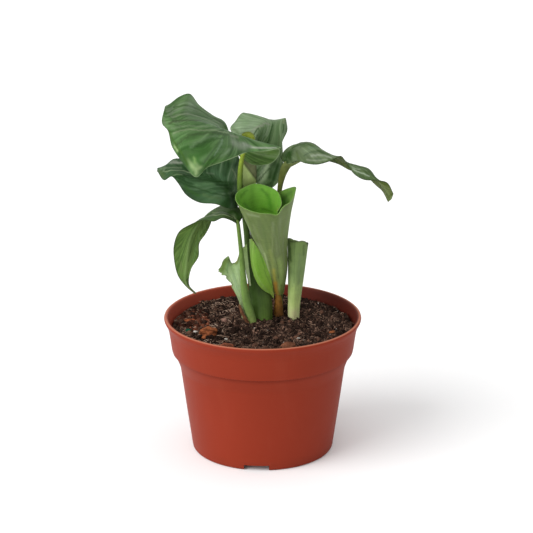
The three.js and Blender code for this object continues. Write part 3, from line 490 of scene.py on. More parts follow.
# How each blade is coloured. Veins are lists of places along the blade, from the midrib to the margin; the
# right half has the left one's where it has none. A pale edge has its half, start, end and width in mm.
LOOKS = {
    "upper_left": {
        "mesh": (160, 111),
        "upper_tone": (98, 136, 80), "under_tone": (108, 142, 76), "edge_tone": (84, 112, 66),
        "left_veins": [
            (0, 0, 0, 0), (0.2, 0.24, 0.27, 0.3), (0.3, 0.38, 0.43, 0.46), (0.36, 0.46, 0.52, 0.56),
            (0.4, 0.5, 0.66, 0.7), (0.5, 0.65, 0.73, 0.775), (0.7, 0.78, 0.865, 0.93),
            (0.85, 0.9, 0.95, 0.98), (1, 1, 1, 1),
        ],
        "right_veins": [
            (0, 0, 0, 0), (0.3, 0.27, 0.24, 0.2), (0.5, 0.46, 0.42, 0.36), (0.7, 0.64, 0.56, 0.44),
            (0.9, 0.86, 0.77, 0.52), (0.96, 0.94, 0.88, 0.75), (1, 1, 1, 1),
        ],
        "sheen": 0.5, "banding": (1, 1),
        "pale_edges": [(-1, 0.3, 0.66, 0.45), (-1, 0, 0.28, 0.5), (1, 0.1, 0.4, 0.5)],
    },
    "upper_back": {
        "mesh": (130, 101),
        # Its left half is paler than its right: partly its own colour, partly painted sheen
        "upper_tone": (136, 160, 122), "right_tone": (110, 138, 92), "under_tone": (84, 108, 58),
        "edge_tone": (92, 112, 72),
        "left_veins": [(0, 0, 0, 0), (0.3, 0.34, 0.4, 0.45), (0.6, 0.66, 0.72, 0.78), (1, 1, 1, 1)],
        "right_veins": [
            (0, 0, 0, 0), (0.2, 0.12, 0.06, 0.04), (0.45, 0.27, 0.16, 0.12), (0.63, 0.38, 0.25, 0.2),
            (0.8, 0.6, 0.43, 0.32), (0.92, 0.85, 0.7, 0.58), (1, 1, 1, 1),
        ],
        "sheen": 0.35, "banding": (0.35, 1), "pale_edges": [(1, 0.42, 0.8, 0.5)],
    },
    "mid_left": {
        "mesh": (130, 91),
        "upper_tone": (72, 106, 68), "under_tone": (78, 104, 52), "edge_tone": (62, 84, 48),
        "left_veins": [
            (0, 0, 0, 0), (0.05, 0.08, 0.2, 0.3), (0.1, 0.16, 0.38, 0.55), (0.2, 0.3, 0.56, 0.72),
            (0.4, 0.54, 0.74, 0.85), (0.7, 0.78, 0.88, 0.94), (1, 1, 1, 1),
        ],
        "right_veins": [
            (0, 0, 0, 0), (0.2, 0.27, 0.33, 0.37), (0.5, 0.58, 0.64, 0.68), (0.8, 0.85, 0.89, 0.92),
            (1, 1, 1, 1),
        ],
        "sheen": 0.34, "banding": (1.1, 1), "pale_edges": [(1, 0.03, 0.27, 0.4)],
    },
    "right": {
        "mesh": (180, 61),
        "upper_tone": (92, 112, 72), "under_tone": (98, 112, 54), "edge_tone": (54, 68, 36),
        "left_veins": [
            (0, 0, 0, 0), (0.08, 0.18, 0.26, 0.3), (0.25, 0.4, 0.5, 0.55), (0.5, 0.64, 0.73, 0.77),
            (0.75, 0.84, 0.9, 0.93), (1, 1, 1, 1),
        ],
        "sheen": 0.3, "banding": (0.8, 0.8), "pale_edges": [(1, 0, 0.08, 0.4)],
    },
    "low_left": {
        "mesh": (180, 61),
        "upper_tone": (76, 102, 56), "under_tone": (100, 130, 61), "edge_tone": (44, 60, 28),
        "left_veins": [
            (0, 0, 0, 0), (0.08, 0.25, 0.38, 0.45), (0.25, 0.48, 0.6, 0.68), (0.5, 0.68, 0.8, 0.86),
            (0.75, 0.85, 0.92, 0.96), (1, 1, 1, 1),
        ],
        "sheen": 0.25, "banding": (0.6, 0.6), "pale_edges": [],
    },
}

# Streaks on the two sides of the blades, rolled leaf and sheaths: each has its width in mm, its strength and
# its colour, then its path as pairs of thousandths along and hundredths across
STREAKS = {
    ("upper_left", "upper"): [
        (4.5, 0.3, (62, 112, 46), 750, -66, 700, -62, 625, -50),
        (3, 0.25, (66, 112, 50), 560, -70, 483, -66),
        (1.8, 0.7, (158, 186, 124), 675, -84, 645, -87, 617, -92),
        (1.5, 0.6, (156, 184, 122), 633, -78, 610, -84),
        (3.78, 0.9, (143, 160, 133), 390, -46, 303, -74),
        (1.35, 0.8, (138, 150, 122), 290, -30, 380, -24),
        (1.89, 0.8, (126, 158, 114), 433, -63, 483, -75),
        (1.35, 0.85, (120, 154, 112), 483, -32, 520, -49, 537, -70),
        (3.24, 0.85, (70, 120, 50), 583, -50, 623, -58, 667, -77),
        (1.89, 0.85, (70, 122, 50), 500, -88, 573, -81, 637, -71),
        (1.35, 0.7, (92, 138, 76), 417, -93, 463, -93),
        (1.19, 0.85, (106, 138, 94), 507, -25, 577, -29, 643, -41, 677, -60),
        (0.59, 0.9, (58, 94, 44), 470, -28, 553, -35, 607, -37, 650, -49, 670, -64),
        (0.76, 0.7, (68, 110, 48), 530, -40, 570, -50, 593, -57),
        (0.97, 0.9, (70, 98, 54), 410, -20, 503, -18, 583, -21, 663, -31, 723, -54, 750, -83),
        (0.7, 0.85, (142, 162, 120), 380, -14, 477, -10, 567, -15, 657, -20, 750, -41, 800, -73),
        (0.97, 0.8, (122, 148, 106), 560, -6, 650, -12, 747, -28, 830, -73),
        (0.92, 0.9, (74, 92, 56), 397, 17, 477, 21, 540, 23, 593, 16, 640, 7, 703, -1, 790, -17, 863, -68),
        (0.86, 0.85, (140, 160, 122), 410, 8, 553, 66, 603, 60, 643, 52, 693, 42, 767, 18, 847, -17),
        (0.86, 0.7, (110, 140, 96), 590, 80, 640, 77, 687, 65, 757, 37, 837, 18),
        (0.81, 0.9, (74, 104, 56), 530, 80, 593, 82, 640, 83, 680, 83, 733, 67, 793, 55, 860, 42),
        (1.35, 0.8, (92, 126, 72), 710, 93, 753, 82, 810, 73, 860, 56),
        (0.49, 0.7, (120, 130, 100), 730, 94, 673, 96, 633, 91),
        (1.08, 0.85, (70, 112, 50), 993, -98, 937, -37),
        (0.97, 0.7, (112, 134, 96), 920, -73, 887, -89),
        (0.86, 0.8, (74, 114, 42), 830, -92, 780, -85, 733, -85, 690, -90, 670, -94),
        (0.7, 0.95, (168, 196, 132), 763, -91, 737, -90),
        (1.08, 0.9, (134, 172, 98), 653, -72, 643, -78),
        (1.51, 0.95, (160, 190, 126), 657, -88, 630, -86, 603, -81),
        (1.08, 0.95, (168, 198, 136), 627, -87, 620, -94),
        (0.86, 0.9, (178, 190, 166), 273, -78, 227, -84, 183, -95),
        (1.35, 0.8, (150, 162, 142), 293, -60, 273, -75),
        (0.97, 0.85, (60, 84, 40), 600, 88, 557, 88, 517, 88),
        (0.32, 0.7, (146, 166, 118), 590, 80, 550, 78, 510, 82),
    ],
    ("upper_left", "under"): [
        (2.16, 0.7, (76, 104, 52), 267, 78, 227, 86),
        (1.35, 0.8, (98, 136, 58), 193, 89, 173, 95),
        (0.81, 0.7, (68, 94, 42), 300, 92, 257, 93),
    ],
    ("upper_back", "upper"): [
        (3, 0.9, (190, 214, 168), 383, 56, 375, 68, 365, 82, 350, 92),
        (1.6, 0.75, (136, 158, 122), 330, 20, 420, 2, 500, -10),
        (4, 0.7, (140, 162, 126), 325, -80, 475, -72),
        (3, 0.6, (138, 158, 126), 267, -34),
        (1.2, 0.85, (154, 172, 138), 350, 96, 350, 78, 367, 62),
        (1.8, 0.8, (46, 80, 32), 417, 82, 425, 66, 467, 60),
        (3.24, 0.8, (122, 150, 108), 483, -89, 367, -54),
        (1.62, 0.8, (94, 118, 76), 270, -91, 203, -80),
        (1.08, 0.8, (146, 156, 132), 110, -33, 193, -15, 297, 1),
        (0.81, 0.7, (150, 158, 136), 337, -5, 460, 3),
        (0.7, 0.85, (64, 86, 52), 67, -20, 120, -11, 190, -6),
        (0.54, 0.7, (58, 92, 50), 10, 97, 80, 10),
        (0.76, 0.7, (92, 122, 80), 187, 8, 177, 38),
        (0.65, 0.8, (116, 144, 104), 287, 10, 253, 33),
        (0.7, 0.95, (44, 80, 32), 550, 5, 433, 15, 357, 33),
        (0.97, 0.8, (96, 128, 80), 637, 15, 483, 36),
        (0.86, 0.85, (58, 94, 44), 803, 37, 747, 59),
        (0.86, 0.7, (96, 122, 74), 603, 33, 540, 41),
        (0.76, 0.8, (128, 140, 100), 910, 20, 823, 28),
        (0.43, 0.8, (96, 84, 62), 987, 19),
        (2.7, 0.9, (46, 86, 32), 503, 70, 463, 86),
        (0.76, 0.9, (150, 182, 132), 333, 61, 300, 76, 290, 92, 297, 99),
        (0.54, 0.9, (46, 78, 36), 243, 76, 257, 88),
        (0.65, 0.8, (104, 136, 92), 360, 63, 340, 76, 323, 92),
        (0.65, 0.9, (58, 86, 42), 407, 67, 367, 81, 337, 96),
        (1.08, 0.8, (48, 78, 32), 437, 90, 393, 97),
        (0.65, 0.8, (104, 136, 78), 530, 99, 480, 100),
    ],
    ("mid_left", "upper"): [
        (0.8, 0.8, (130, 150, 112), 217, 48, 158, 48, 83, 50),
        (1.8, 0.8, (150, 158, 140), 808, 58, 750, 64),
        (2.6, 0.75, (108, 146, 100), 500, -50, 420, -42, 340, -34),
        (2.4, 0.7, (92, 122, 78), 275, 70, 350, 66),
        (2.7, 0.9, (48, 82, 40), 117, 17, 247, -58, 187, -79),
        (1.62, 0.8, (54, 84, 56), 197, 100, 207, 65),
        (2.16, 0.85, (84, 122, 82), 353, 19, 273, 15, 227, 10),
        (0.81, 0.7, (112, 136, 104), 390, 10, 327, 14),
        (0.81, 0.9, (46, 80, 36), 657, -59, 570, -27, 490, -22, 397, -23, 273, -10, 160, 10),
        (0.97, 0.8, (88, 124, 84), 603, -56, 503, -44, 397, -44, 307, -43),
        (0.65, 0.9, (48, 82, 40), 667, -81, 603, -70, 527, -62, 437, -60, 363, -69, 283, -66, 203, -57),
        (0.54, 0.7, (84, 118, 76), 500, -57, 413, -57, 340, -60),
        (1.35, 0.8, (84, 114, 70), 430, -74, 373, -81, 300, -80),
        (1.62, 0.85, (60, 102, 44), 593, -81, 530, -80, 467, -81),
        (1.08, 0.7, (50, 84, 40), 280, -97, 220, -87),
        (1.62, 0.7, (86, 110, 60), 943, -45, 897, -69),
        (0.97, 0.8, (124, 146, 110), 940, -7, 820, -2, 673, 14),
        (0.65, 0.85, (148, 168, 128), 893, -32, 770, -38, 653, -6, 553, -6),
        (0.49, 0.7, (98, 122, 84), 793, -76, 690, -44, 590, -20),
        (0.43, 0.7, (138, 160, 118), 760, -89, 710, -65, 653, -46),
        (1.35, 0.8, (176, 186, 164), 760, 48, 687, 50),
    ],
    ("right", "upper"): [
        (4.2, 0.8, (50, 84, 34), 20, 0, 70, 15, 115, 35),
        (2.16, 0.95, (48, 78, 30), 63, -15, 93, 8, 103, 56),
        (1.08, 0.85, (60, 86, 44), 140, 4, 193, 13, 240, 19),
        (1.35, 0.8, (84, 104, 56), 180, 51, 177, 83),
        (1.08, 0.7, (74, 98, 58), 213, 29, 270, 21),
        (1.08, 0.85, (106, 130, 98), 273, 34, 330, 25),
        (0.54, 0.8, (118, 140, 104), 243, 49, 287, 41, 343, 28, 413, 10),
        (0.49, 0.9, (68, 92, 60), 230, 70, 263, 58, 303, 48, 353, 41, 407, 46),
        (0.97, 0.9, (150, 162, 138), 287, 66, 350, 59, 433, 72),
        (0.65, 0.85, (140, 154, 126), 247, 82, 313, 84, 390, 83),
        (0.32, 0.85, (86, 108, 78), 303, 76, 353, 76),
        (0.43, 0.85, (68, 96, 50), 227, 92, 277, 94, 333, 96, 390, 95),
        (0.65, 0.8, (60, 90, 38), 30, -53, 90, 66),
        (0.43, 0.8, (132, 148, 118), 343, 23, 397, 26, 463, 72),
        (0.76, 0.85, (110, 130, 94), 640, 69, 690, 34, 760, 30),
        (0.49, 0.8, (150, 164, 140), 657, 61, 713, 41),
        (0.54, 0.9, (162, 178, 152), 670, 73, 730, 62, 790, 62),
        (0.86, 0.9, (70, 96, 54), 683, 93, 737, 85, 793, 86),
        (0.86, 0.8, (82, 106, 70), 787, 17, 817, 0),
        (0.65, 0.7, (84, 108, 60), 840, 87, 897, 77),
    ],
    ("right", "under"): [
        (1.08, 0.8, (102, 112, 56), 530, -59, 570, -50),
        (1.08, 0.8, (98, 118, 60), 867, -48, 940, -38, 1000, -24),
        (0.32, 0.7, (120, 138, 80), 880, 8, 957, 11, 1000, 33),
    ],
    ("low_left", "upper"): [
        (2.16, 0.9, (52, 86, 32), 123, 1, 110, 55, 50, 56),
        (1.08, 0.7, (96, 112, 76), 230, 48, 233, 4, 260, -11),
        (0.38, 0.9, (154, 170, 126), 37, 23, 123, -58, 217, -56, 280, -22, 333, -32),
        (0.32, 0.85, (140, 156, 114), 63, 16, 140, -16, 213, -6, 270, 12),
        (0.43, 0.7, (82, 100, 58), 100, -77, 160, -81),
        (0.65, 0.8, (68, 102, 56), 320, -64, 270, -59, 220, -77),
    ],
    ("low_left", "under"): [
        (3, 0.6, (128, 158, 84), 450, 24, 550, 24, 625, 16, 710, 18, 783, 25),
        (1, 0.8, (110, 98, 66), 930, -50, 970, 0, 1000, 50),
        (0.9, 0.9, (34, 44, 22), 870, 90, 900, 60),
        (1.08, 0.8, (106, 136, 74), 457, 72, 497, 66, 537, 61),
        (0.76, 0.8, (100, 134, 72), 517, 42, 600, 63, 677, 69, 730, 48),
        (0.38, 0.7, (68, 98, 42), 437, 36, 527, 32, 620, 25, 703, 12),
        (0.38, 0.7, (70, 100, 44), 437, -29, 537, -17, 633, -30, 713, -36),
        (0.38, 0.6, (106, 138, 74), 550, 20, 643, 21),
        (0.38, 0.6, (72, 102, 46), 537, -44, 630, -50, 723, -65),
        (1.08, 0.6, (98, 114, 64), 720, -53, 777, -36),
        (0.81, 0.6, (92, 108, 60), 813, -28, 877, -41),
        (0.49, 0.8, (34, 46, 22), 843, 35, 847, 9),
        (0.43, 0.7, (58, 88, 36), 457, 79, 507, 82, 563, 71),
        (0.43, 0.9, (104, 100, 64), 897, -24, 957, 11, 1000, 76),
    ],
    ("rolled_leaf", "upper"): [
        (1.2, 0.5, (152, 164, 122), 820, 5, 620, 6, 420, 10),
        (1.3, 0.5, (150, 166, 122), 900, 33, 700, 36, 500, 36),
        (1.6, 0.5, (112, 128, 84), 900, 15, 700, 14),
        (2.8, 0.75, (164, 190, 110), 80, 30, 142, 34, 225, 40, 340, 42, 440, 42),
        (1, 0.7, (176, 196, 134), 500, 9, 300, 9, 100, 5),
        (1.35, 0.8, (140, 162, 110), 593, 1, 433, 3, 230, 2, 23, -13),
        (1.08, 0.8, (150, 165, 122), 943, 4, 960, 16),
        (1.35, 0.7, (112, 134, 80), 843, 19, 560, 18),
        (0.43, 0.8, (148, 162, 110), 840, 31, 677, 29, 527, 26),
        (0.81, 0.45, (106, 124, 70), 857, 37, 483, 33, 217, 27),
        (0.65, 0.8, (130, 144, 102), 873, 62, 667, 60, 483, 59, 200, 59),
        (0.65, 0.4, (106, 132, 76), 830, 47, 513, 44),
        (1.08, 0.7, (104, 122, 72), 997, 26, 967, 36),
        (3.2, 0.55, (98, 116, 64), 875, 4, 725, 2, 617, 4),
        (3.2, 0.5, (138, 154, 104), 883, 48, 658, 48, 458, 40),
        (1.2, 0.7, (156, 172, 100), 550, 22, 408, 22, 300, 21),
        (1.4, 0.8, (178, 172, 80), 320, 21, 143, 18),
        (1.9, 0.9, (196, 146, 60), 143, 18, 58, 14, 0, 13),
        (0.54, 0.8, (162, 178, 100), 117, 1, 0, 1),
        (0.97, 0.8, (112, 134, 62), 120, 37, 23, 34),
    ],
    ("rolled_leaf", "under"): [
        (2.7, 0.5, (96, 146, 48), 970, -49, 767, -43),
        (1.35, 0.7, (92, 142, 50), 970, -44, 947, -32),
        (0.81, 0.8, (104, 142, 72), 967, -24, 917, -23),
        (2.16, 0.9, (100, 164, 52), 910, -65, 813, -67),
        (1.35, 0.7, (88, 140, 48), 950, -59, 923, -63),
        (1.62, 0.8, (104, 158, 64), 873, -33, 797, -39),
        (1.35, 0.8, (94, 146, 46), 780, -56, 780, -68),
        (0.54, 0.8, (154, 184, 74), 820, -77, 877, -81),
        (2.16, 0.8, (86, 124, 52), 910, 93, 953, 84),
        (0.6, 0.85, (58, 84, 44), 1000, 66, 1000, 80, 1000, 97),
        (0.43, 0.7, (104, 144, 66), 933, 91, 840, 89),
    ],
    ("cut_stub", "upper"): [
        (1.3, 0.85, (72, 96, 44), 947, -38, 733, -27),
        (0.49, 0.4, (88, 114, 64), 963, -14, 490, -2),
        (0.54, 0.8, (178, 198, 142), 960, 48, 617, 52, 403, 46, 197, 51),
        (1.35, 0.7, (124, 148, 96), 830, 14, 493, 20),
        (1.08, 0.7, (92, 116, 66), 940, 24, 817, 29),
        (2.7, 0.5, (184, 210, 122), 430, -7, 277, 3),
        (2.7, 0.9, (206, 206, 150), 207, 5, 140, 11),
        (0.54, 0.7, (220, 216, 170), 260, -31, 133, -27),
        (0.43, 0.85, (60, 66, 40), 983, -55, 973, -24, 1000, 5, 1000, 32, 983, 53),
        (1.5, 1, (18, 16, 12), 1000, 42, 1000, 50, 970, 52),
    ],
    ("torn_sheath", "upper"): [
        (4.6, 1, (96, 122, 54), 910, -90, 920, -76, 940, -64),
        (1.2, 0.9, (80, 108, 42), 1000, 95, 970, 66, 930, 45),
        (0.86, 0.7, (120, 160, 98), 833, -55, 733, -78),
        (1.62, 0.8, (206, 240, 182), 620, -33, 333, -56),
        (0.65, 0.8, (178, 190, 112), 933, 46, 1000, 75),
        (0.38, 0.8, (70, 80, 40), 1000, -97, 1000, -77, 1000, -57),
        (0.32, 0.8, (90, 110, 60), 917, -45, 963, -9, 987, 25),
        (0.32, 0.8, (110, 132, 84), 770, -99, 677, -100, 577, -100, 480, -100),
    ],
    ("rolled_leaf_flap", "upper"): [
        (0.43, 0.8, (150, 190, 92), 937, 97, 700, -44, 507, -48, 323, -56, 120, -100),
        (0.86, 0.7, (122, 172, 60), 857, 100, 647, 17, 423, -10),
        (0.65, 0.7, (100, 150, 48), 677, 88, 487, 71),
        (0.54, 0.7, (112, 154, 62), 477, 54, 270, 50, 90, 100),
    ],
}

PALE_EDGE, SHEEN = (164, 190, 138), (158, 170, 146)
# What a dark band takes away of red, green and blue: partly the blade's own banding, partly painted shade in
# the pleats' hollows
BAND_DEPTH = (0.56, 0.4, 0.62)
# Pleats and bands repeat along the midrib as if it were this long, and a pleat stands this high
PLEATED_LENGTH, PLEAT_HEIGHT = 85, 0.09
# The midrib shows by this much on the upper side and on the underside
RIB_GROOVE, RIB_HEIGHT = 0.1, 0.3
# Over these widths from the margin the blade thins, its pleats fade out, and the edge tone shows
THIN_WIDTH, FADE_WIDTH, EDGE_WIDTH = 2.5, 3, 0.42


def streaked(colour, grid, name, side):
    """Paints a sheet's streaks over the colours of its grid."""
    rows, columns = grid.shape[:2]
    points = grid.reshape(-1, 3)
    colour = colour.reshape(-1, 3)
    for width, strength, over, *path in STREAKS.get((name, side), ()):
        path = np.reshape(path, (-1, 2)) / (1000, 100)
        if len(path) > 1:
            path = spline(path, np.linspace(0, 1, 5 * len(path)))
        place = (np.clip(path, (0, -1), 1) * (1, 0.5) + (0, 0.5)) * (rows - 1, columns - 1)
        line = grid[tuple(np.rint(place).astype(int).T)]
        away = np.linalg.norm(points - line[0], axis=1)
        for a, b in zip(line, line[1:]):
            along = (points - a) @ (b - a) / max((b - a) @ (b - a), 1e-9)
            near = a + np.clip(along, 0, 1)[:, None] * (b - a)
            away = np.minimum(away, np.linalg.norm(points - near, axis=1))
        colour = mixed(colour, over, strength * np.exp(-((away / max(0.6 * width, 0.3)) ** 2)))
    return colour.reshape(rows, columns, 3)


def vein_places(guides, v, s):
    """Where on the midrib the vein through each point of a half blade starts."""
    guides = np.array(guides, float)
    bends = np.polyfit((0, 0.25, 0.6, 1), guides.T, 3)
    starts = np.empty((len(v), len(s)))
    for k, across in enumerate(s):
        line = np.maximum.accumulate(np.polyval(bends, across) + 1e-6 * np.arange(len(guides)))
        starts[:, k] = np.interp(v, line, guides[:, 0])
    return starts


def arched(midrib, margin, arch, to_right):
    """The rail halfway between midrib and margin, lifted off their chord by the blade's arch."""
    midrib, margin = np.array(midrib, float), np.array(margin, float)
    places = np.linspace(0, 1, len(midrib))
    ahead = unit(spline(midrib, np.clip(places + 1e-4, 0, 1)) - spline(midrib, np.clip(places - 1e-4, 0, 1)))
    up = unit(np.cross((margin - midrib) * to_right, ahead))
    return (midrib + margin) / 2 + up * np.array(arch, float)[:, None]


def blade_grid(shape, along, across):
    midrib, left, right = shape["midrib"], shape["left"], shape["right"]
    left_half = arched(midrib, left, shape["left_arch"], -1)
    right_half = shape.get("right_half") or arched(midrib, right, shape["right_arch"], 1)
    return surface([left, left_half, midrib, right_half, right], along, across)


def make_blade(name, thickness, skins):
    look = LOOKS[name]
    v, c = (np.linspace(0, 1, count) for count in look["mesh"])
    grid = blade_grid(BLADES[name], v, c)
    middle = len(c) // 2
    left_starts = vein_places(look["left_veins"], v, 1 - 2 * c[:middle])
    right_starts = vein_places(look.get("right_veins", look["left_veins"]), v, 2 * c[middle:] - 1)
    starts = np.concatenate([left_starts, right_starts], axis=1)
    v, u = np.meshgrid(v, 2 * c - 1, indexing="ij")
    s = np.abs(u)
    from_rib = np.linalg.norm(grid - grid[:, middle : middle + 1], axis=-1)
    margin = np.where(u[..., None] < 0, grid[:, :1], grid[:, -1:])
    from_margin = np.linalg.norm(grid - margin, axis=-1)
    pleats = ridges(starts * PLEATED_LENGTH, u, 3, 5)
    bands = 0.6 * ridges(starts * PLEATED_LENGTH, 1.5 * u, 10, 6, 2) + 0.65 * pleats
    bands = bands * np.where(u < 0, *look["banding"])
    inside = np.clip(from_margin / FADE_WIDTH, 0, 1) * np.clip(from_rib / 2, 0, 1)
    raised = PLEAT_HEIGHT * inside * np.clip((1 - v) * 12, 0, 1) * pleats
    rib = np.exp(-((from_rib / (1.1 - 0.7 * v)) ** 2)) * (1 - 0.75 * v)
    taper = 0.55 + 0.45 * np.clip(from_margin / THIN_WIDTH, 0, 1)
    points, faces, side = thin_body(
        grid, thickness * taper, raised - RIB_GROOVE * rib, RIB_HEIGHT * rib - raised * 0.9)
    coats = []
    for layer in ("upper", "under"):
        coat = tone(*look[layer + "_tone"]) + 0 * grid
        # Where a blade has a right tone, its left half stays paler, partly as painted sheen
        if "right_tone" in look and layer == "upper":
            coat = mixed(coat, look["right_tone"], np.clip(u * 3 + 0.5, 0, 1))
        # Painted light and shade: the colour rises and falls with the pleats, and the bands add painted sheen
        # on their crests and painted shade in their hollows, over the blade's own banding
        coat = coat * (1 + 0.12 * pleats + 0.08 * rumple(grid, 9, 3))[..., None]
        coat = mixed(coat, SHEEN, look["sheen"] * (1 - 0.5 * s**2) * np.clip(bands, 0, 1))
        coat = coat * (1 - np.clip(-bands, 0, 1)[..., None] * BAND_DEPTH)
        coat = streaked(coat, grid, name, layer)
        coat = mixed(coat, look["edge_tone"], 0.85 * np.exp(-((from_margin / EDGE_WIDTH) ** 2)))
        for half, start, end, wide in look["pale_edges"]:
            reach = np.clip((v - start) * 30, 0, 1) * np.clip((end - v) * 30, 0, 1) * (u * half > 0)
            coat = mixed(coat, PALE_EDGE, 0.85 * reach * np.exp(-((from_margin / wide) ** 4)))
        if layer == "under":
            coat = mixed(coat, PALE_EDGE, 0.25 * rib)
        coats.append(coat.reshape(-1, 3))
    uv = np.stack([s, starts], -1).reshape(-1, 2)
    uv, colour = np.concatenate([uv, uv]), np.concatenate(coats)
    finished(new_piece("blade_" + name, points, faces, skins, side, uv, colour), "leaf_green", "leaf_" + name)


# Stalks

# Rings from the foot up, each with x, y, z, half width and half depth; tones have their place on the stalk
STALKS = {
    "upper_left": {
        "rings": [
            (-0.3, 3.4, 62, 4.9, 4.4), (-0.4, 3.4, 68.2, 5.6, 4.9), (-0.8, 4.9, 76.9, 6.1, 4.3),
            (-1.9, 6.4, 85.4, 5.8, 3.3), (-4.4, 6.5, 95.6, 4.2, 2.6), (-6.9, 6.5, 106.8, 2.5, 2),
            (-8.4, 6.3, 118, 1.7, 1.5), (-9.8, 6.2, 129.1, 1.5, 1.4), (-11.6, 5.6, 141.4, 1.7, 1.6),
            (-11.7, 4.6, 149.9, 1.45, 1.6), (-11, 3, 157.3, 1.25, 1.4), (-9.7, 1, 163.2, 1.15, 1.3),
            (-6.6, 0.7, 168, 1.5, 1.5), (-5.7, 0.6, 170.8, 1.9, 1.8), (-7.4, 0.3, 172.4, 2, 1.9),
            (-10.6, -0.2, 172.2, 1.3, 1.2),
        ],
        "tones": [
            (0, 150, 150, 96), (0.045, 112, 126, 58), (0.08, 92, 122, 50), (0.15, 78, 108, 44),
            (0.24, 58, 84, 34), (0.34, 62, 88, 38), (0.42, 88, 116, 52), (0.55, 104, 136, 56),
            (0.68, 160, 184, 64), (0.84, 190, 212, 78), (0.94, 188, 206, 76), (1, 160, 178, 58),
        ],
        "back_tone": (62, 74, 26),
    },
    "upper_back": {
        "rings": [
            (-0.6, 13.8, 62, 1.6, 1.5), (-1.6, 13.3, 80.3, 1.5, 1.4), (-4, 13, 105.8, 1.4, 1.3),
            (-6, 13.4, 125.3, 2.2, 1), (-7.1, 13.8, 139, 3.8, 0.9), (-7.3, 14, 147.1, 4.2, 0.9),
            (-7, 14, 153.7, 3.8, 1), (-6.2, 13, 160, 2.5, 1.2), (-4.7, 11.9, 166.3, 1.2, 1.1),
        ],
        "tones": [
            (0, 160, 168, 104), (0.2, 96, 116, 56), (0.6, 104, 122, 62), (0.75, 122, 132, 80),
            (0.86, 104, 100, 72), (1, 118, 134, 66),
        ],
        "back_tone": (84, 98, 46),
    },
    "mid_left": {
        "rings": [
            (-4.4, 12.4, 62, 1.5, 1.5), (-4.3, 11.9, 78, 1.3, 1.3), (-6, 11, 92.4, 1.2, 1.2),
            (-7.7, 10.7, 106.6, 1.1, 1.1), (-9.4, 10.6, 123.4, 1.1, 1.1), (-11.3, 10.9, 132.9, 1.2, 1.2),
            (-12, 10, 138.2, 1.1, 1.1),
        ],
        "tones": [(0, 150, 160, 96), (0.2, 78, 104, 46), (0.8, 80, 108, 50), (1, 106, 130, 54)],
        "back_tone": (66, 88, 38),
    },
    "right": {
        "rings": [
            (9.1, 14.6, 62, 1.7, 1.5), (9.4, 14, 77.2, 1.5, 1.4), (9.8, 12.8, 94.5, 1.3, 1.3),
            (9.9, 11.8, 114.5, 1.2, 1.2), (9, 11, 131.5, 1.2, 1.1), (9, 10.3, 139.8, 1.3, 1.1),
            (10.1, 9.6, 146.6, 1.7, 1.1), (11.4, 8.6, 151.3, 2.2, 1.2), (13.1, 7.5, 154.5, 2.4, 1.1),
            (15.9, 6.9, 155.3, 1.3, 0.7), (20, 6.3, 156.9, 0.4, 0.3),
        ],
        "tones": [
            (0, 150, 160, 96), (0.2, 86, 104, 44), (0.6, 102, 108, 48), (0.78, 124, 136, 74),
            (1, 148, 164, 104),
        ],
        "back_tone": (74, 88, 38),
    },
    "low_left": {
        "rings": [
            (-4.9, -2.4, 62, 2.2, 1.4), (-5.6, -2.2, 70.8, 2.4, 1.5), (-7.9, -2.1, 79.4, 2.4, 1.6),
            (-9.5, -2.2, 88.5, 2, 1.4), (-10.5, -2.3, 99.7, 1.45, 1.3), (-11.4, -2.2, 110.8, 1.2, 1.1),
            (-12.2, -1.9, 118.4, 1.1, 1), (-12.9, -1.3, 124.4, 1.05, 1), (-13.4, -0.8, 126.6, 0.9, 0.8),
        ],
        "tones": [
            (0, 176, 186, 118), (0.12, 152, 172, 98), (0.25, 126, 158, 84), (0.45, 122, 154, 78),
            (0.7, 104, 134, 60), (1, 118, 144, 66),
        ],
        "back_tone": (88, 118, 50),
    },
}
ROLLED_LEAF_STALK = [
    (8.5, 9, 62, 2.8, 2.3), (8.5, 9, 68.5, 2.8, 2.3), (8.5, 9, 74.2, 2.5, 2.2), (8.4, 8.9, 80, 1.9, 1.8),
    (8.2, 8.7, 83.6, 0.95, 0.95),
]
RHIZOME = [
    (-9, -1, 54.5, 2.5, 2.2), (-4, 2, 55, 4.6, 4.8), (1, 7, 55.2, 5.6, 6.5), (7, 9.5, 55.3, 5.2, 5.8),
    (13, 9, 55.2, 4.8, 4.6), (20, 8, 54.4, 2.4, 2.4),
]
SHEATHED_STALKS = ("upper_left", "low_left")
# The upper back stalk's flattened sheath is painted along a slanting fold line: painted shade above it, a
# painted shadow along it, pale below
FOLD_POINT, FOLD_UP, FOLD_START = (-9.2, 0, 152.7), (0.805, 0, 0.593), 0.52
FOLD_PALE, FOLD_SHADED, FOLD_SHADOW = (188, 210, 132), (116, 122, 84), (52, 60, 34)


